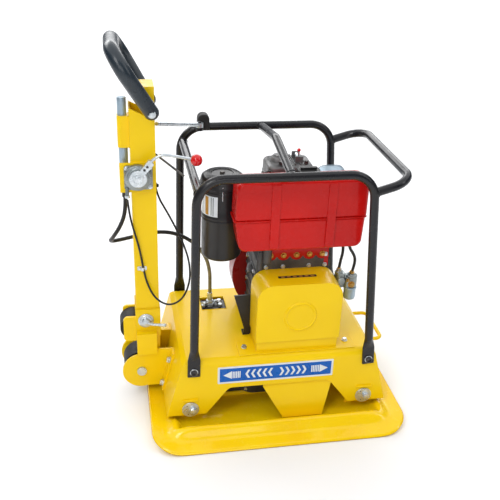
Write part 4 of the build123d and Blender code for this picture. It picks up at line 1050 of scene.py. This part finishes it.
def add_tow_bar_details():
    """Pivot bolts, stay rod, cable clip, travel pump, welds, grommet and clamp lever."""
    bm = bmesh.new()
    for side in (-1, 1):
        place = (HANDLE_X, side * (HANDLE_Y + 20), HANDLE_Z)
        add_hex_bolt(bm, place, (0, side, 0), 15, 6.5, washer=11, thick=1.4)
    stay = [(-351, 0, 816), (-312.5, -31, 792.5), (-274, -62, 769)]
    tube_mesh(bm, stay, 3.2, 12, 1)
    add_prism(bm, "y", rounded(rectangle(-413, 464, -385, 477), 3, 4), -42, -40)
    add_hex_bolt(bm, (-407, -42, 470.5), NEAR, 8, 4, washer=5.5, thick=0.8)
    loop = [(-397 + 5.2 * cos(a), -46 + 5.2 * sin(a)) for a in round_turn(20)]
    add_prism(bm, "z", loop, 465, 476)
    finish_mesh("tow_bar_hardware", bm, ["zinc", "dark_bolt"], "tow_bar", bevel=0.4,
                replaced=["tow_bar_fittings"], smooth=34)
    bm = bmesh.new()
    profile = [(0, 0), (11.5, 0), (12.6, 1.5), (12.6, 30), (11.8, 31), (12.6, 32), (12.6, 236),
               (11.8, 237), (12.6, 238), (12.6, 247), (11, 250), (0, 250)]
    add_lathe(bm, (PUMP_X, PUMP_Y, 735), UP, profile, 40)
    union = [(0, 0), (8, 0), (8.5, 2), (8.5, 10), (13, 11), (13, 24), (10, 25), (10, 36), (0, 36)]
    add_lathe(bm, (PUMP_X, PUMP_Y, 700), UP, union, 6, 1)
    ferrule = [(6.1, 0), (8.6, 1), (9, 4), (9, 22), (0, 22)]
    add_lathe(bm, (PUMP_X, PUMP_Y, 690), UP, ferrule, 28, 2)
    finish_mesh("pump_barrel", bm, ["shield", "zinc", "hose_rubber"], "tow_bar",
                bevel=0.5, replaced=["pump_cylinder"])
    bm = bmesh.new()
    for z, bead in ((252, 0.5), (328, 2.0)):
        weld = [(*p, z) for p in rectangle(-422.6, -41.6, -349.4, 41.6)]
        tube_mesh(bm, weld, bead, 8, closed=True)
    for z in (845, 935):
        tube_mesh(bm, [(-421.8, -28, z), (-421.8, 8, z)], 1.6, 8)
    finish_mesh("tow_bar_welds", bm, ["yellow_paint"], "tow_bar", smooth=60)
    bm = bmesh.new()
    grommet = [(3, -1), (9, -1), (9, 2), (6, 4), (5, 9), (3.2, 10)]
    add_lathe(bm, (-351, 8, 716), (1, 0, -0.2), grommet, 24)
    finish_mesh("cable_grommet", bm, ["rubber"], "tow_bar")
    bm = bmesh.new()
    profile = [(0, 0), (24, 0), (24, 1.4), (23, 2.2), (19, 2.4), (18, 4.6), (12, 5), (11, 13),
               (9, 14.4), (0, 14.6)]
    add_lathe(bm, (CLAMP_X, -47.5, CLAMP_Z), NEAR, profile, 48)
    arm = smooth_path([(CLAMP_X, -59, CLAMP_Z), (-376, -61, 284), (-356, -63, 281), (-339, -64, 279)], 6)
    tube_mesh(bm, arm, 4.6, 16)
    add_lathe(bm, (-337, -64, 279), (1, 0, -0.1), [(0, -6), (4, -5), (6, 0), (4, 5), (0, 6)], 20)
    finish_mesh("clamp_handle", bm, ["zinc"], "clamp", bevel=0.5, replaced=["clamp_lever"],
                smooth=50)


def add_handle():
    """The travel handle: a moulded bow with rounded ends on its two pivot eyes."""
    chain = [(HANDLE_X, -HANDLE_Y, HANDLE_Z), (-460, -140, 1126), (-460, 140, 1126),
             (HANDLE_X, HANDLE_Y, HANDLE_Z)]
    bow = rounded(chain, [0, HANDLE_BEND, HANDLE_BEND, 0], 12)
    start, end = bow[0], bow[-1]
    first, second = bow[1:14], bow[14:27]
    path = [start.lerp(first[0], k / 14) for k in range(14)] + first
    path += [first[-1].lerp(second[0], k / 10) for k in range(1, 10)] + second
    path += [second[-1].lerp(end, k / 14) for k in range(1, 15)]
    bm = bmesh.new()
    tube_mesh(bm, path, HANDLE_TUBE, 32)
    cap = [(HANDLE_TUBE * cos(k * pi / 20), HANDLE_TUBE * sin(k * pi / 20)) for k in range(11)]
    for place, inner in ((start, path[1]), (end, path[-2])):
        add_lathe(bm, place, (place - inner).normalized(), [(0, 0), *cap], 32)
    finish_mesh("travel_handle_bow", bm, ["grip_rubber"], "control_handle",
                replaced=["control_handle"], smooth=70)


def add_coupling_details():
    """Union nuts and the valve block seen through the deck's slot."""
    x, y = UNION_X, UNION_Y
    bm = bmesh.new()
    add_block(bm, (-214, 82, 228), (-112, 142, 236.5), 2)
    for z0, z1, across in ((236, 246, 27), (247, 256, 22)):
        radius = across / sqrt(3)
        nut = [(0, z0), (radius, z0), (radius, z1 - 1), (across / 2, z1), (0, z1)]
        add_lathe(bm, (x, y, 0), UP, nut, 6)
    ferrule = [(6.2, 256), (8.6, 256), (8.8, 276), (8, 284), (6.2, 285)]
    add_lathe(bm, (x, y, 0), UP, ferrule, 28)
    for place in ((-196, 100), (-140, 100), (-140, 128)):
        add_hex_bolt(bm, (*place, 236.5), UP, 13, 7, washer=9, thick=1.5, washer_material=1)
    tube_mesh(bm, smooth_path([(-200, 116, 238), (-192, 104, 248), (-180, 106, 246)], 6), 5, 12)
    tube_mesh(bm, smooth_path([(-162, 116, 242), (-150, 118, 248), (-136, 112, 240)], 6), 4, 12)
    finish_mesh("hose_union", bm, ["zinc", "dark_bolt", "engine_black"], bevel=0.5,
                replaced=["hose_coupling"], smooth=32)


def add_frame_welds():
    """Weld beads where the bars meet the hoops, and the exciter's fasteners."""
    bm = bmesh.new()
    for side in (-1, 1):
        for centre, axis in (((-250, side * 212.5, 776), (0, side, 0)),
                             ((0, side * 213, 822), (0, side, 0.15)),
                             ((243.5, side * 225.5, 767.8), (1, 0, 0.29))):
            u, v = frame_of(axis)[1:]
            points = [Vector(centre) + (u * cos(a) + v * sin(a)) * 13.2 for a in round_turn(32)]
            tube_mesh(bm, points, 1.8, 8, closed=True)
    finish_mesh("frame_welds", bm, ["black_paint"], smooth=70)
    bm = bmesh.new()
    for x in (-136, 136):
        for y in (-60, 20, 100):
            add_hex_bolt(bm, (x, y, 44), UP, 22, 9, washer=15, thick=2)
    for side in (-1, 1):
        for angle in (-55, 0, 55):
            place = (side * (54 + 53 * cos(radians(angle))), -112, 92 + 53 * sin(radians(angle)))
            add_hex_bolt(bm, place, NEAR, 10, 4.5)
    for z in (40, 144):
        add_hex_bolt(bm, (0, -112, z), NEAR, 10, 4.5)
    finish_mesh("exciter_fasteners", bm, ["zinc"], replaced=["exciter_bolts"], smooth=32)


def add_latch_details():
    """The rubber stop on the far hoop, and the lug and pin of its rod."""
    bm = bmesh.new()
    outline = rounded([(-204, 813), (-203, 863.5), (-167, 863.5), (-166, 813)], [4, 17, 17, 4], 8)
    add_prism(bm, "y", outline, 207.5, 243.5)
    finish_mesh("latch_rubber", bm, ["rubber"], bevel=9, segments=6,
                replaced=["latch_block"])
    bm = bmesh.new()
    lug = rounded(rectangle(LATCH_X - 12, 184, LATCH_X + 12, 210), [11, 11, 0, 0], 6)
    add_prism(bm, "z", lug, 818, 829)
    pin = [(0, 0), (5, 0), (5, 15), (4, 18), (0, 19)]
    add_lathe(bm, (LATCH_X, LATCH_Y, 829), UP, pin, 20)
    finish_mesh("latch_lug", bm, ["black_paint"], bevel=1)


CAD_FINISH = {
    "yellow_paint": ["console_frame", "lower_belt_guard", "tie_down_eye", "belt_guard",
                     "hinge_ears", "tow_bar_foot", "tow_bar"],
    "black_paint": ["near_hoop", "far_hoop", "cross_bars", "front_handle"],
    "cast_dark": ["crankcase", "exciter_housing", "exciter_end_covers", "cylinder_block"],
    "cast_alloy": ["cylinder_head", "flywheel", "exciter_pulley"],
    "dark_red_paint": ["fan_shroud"],
    "engine_black": ["engine_brackets", "recoil_starter"],
    "rubber": ["rubber_bushes", "v_belt"],
    "zinc": ["pivot_pin", "latch_rod"],
    "steel": ["exciter_bearings", "drive_eccentric_shaft", "drive_timing_gear", "clutch_drum",
              "driven_eccentric_shaft", "driven_timing_gear", "clutch_hub", "crankshaft"],
}


def finish_cad_nodes():
    """Gives the CAD parts that stay visible their finish."""
    for material, names in CAD_FINISH.items():
        for name in names:
            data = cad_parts[name].data
            data.materials.clear()
            data.materials.append(MATERIALS[material])


add_camera()
make_materials()
add_studio()
add_cords()
finish_cad_nodes()
add_base_plate()
add_mounts()
add_console_bolts()
add_console_trim()
add_sign()
add_guard_details()
add_tank()
add_air_cleaner()
add_muffler()
add_rocker_cover()
add_engine_details()
add_fuel_filter()
add_throttle_details()
add_tow_bar_details()
add_handle()
add_coupling_details()
add_frame_welds()
add_latch_details()
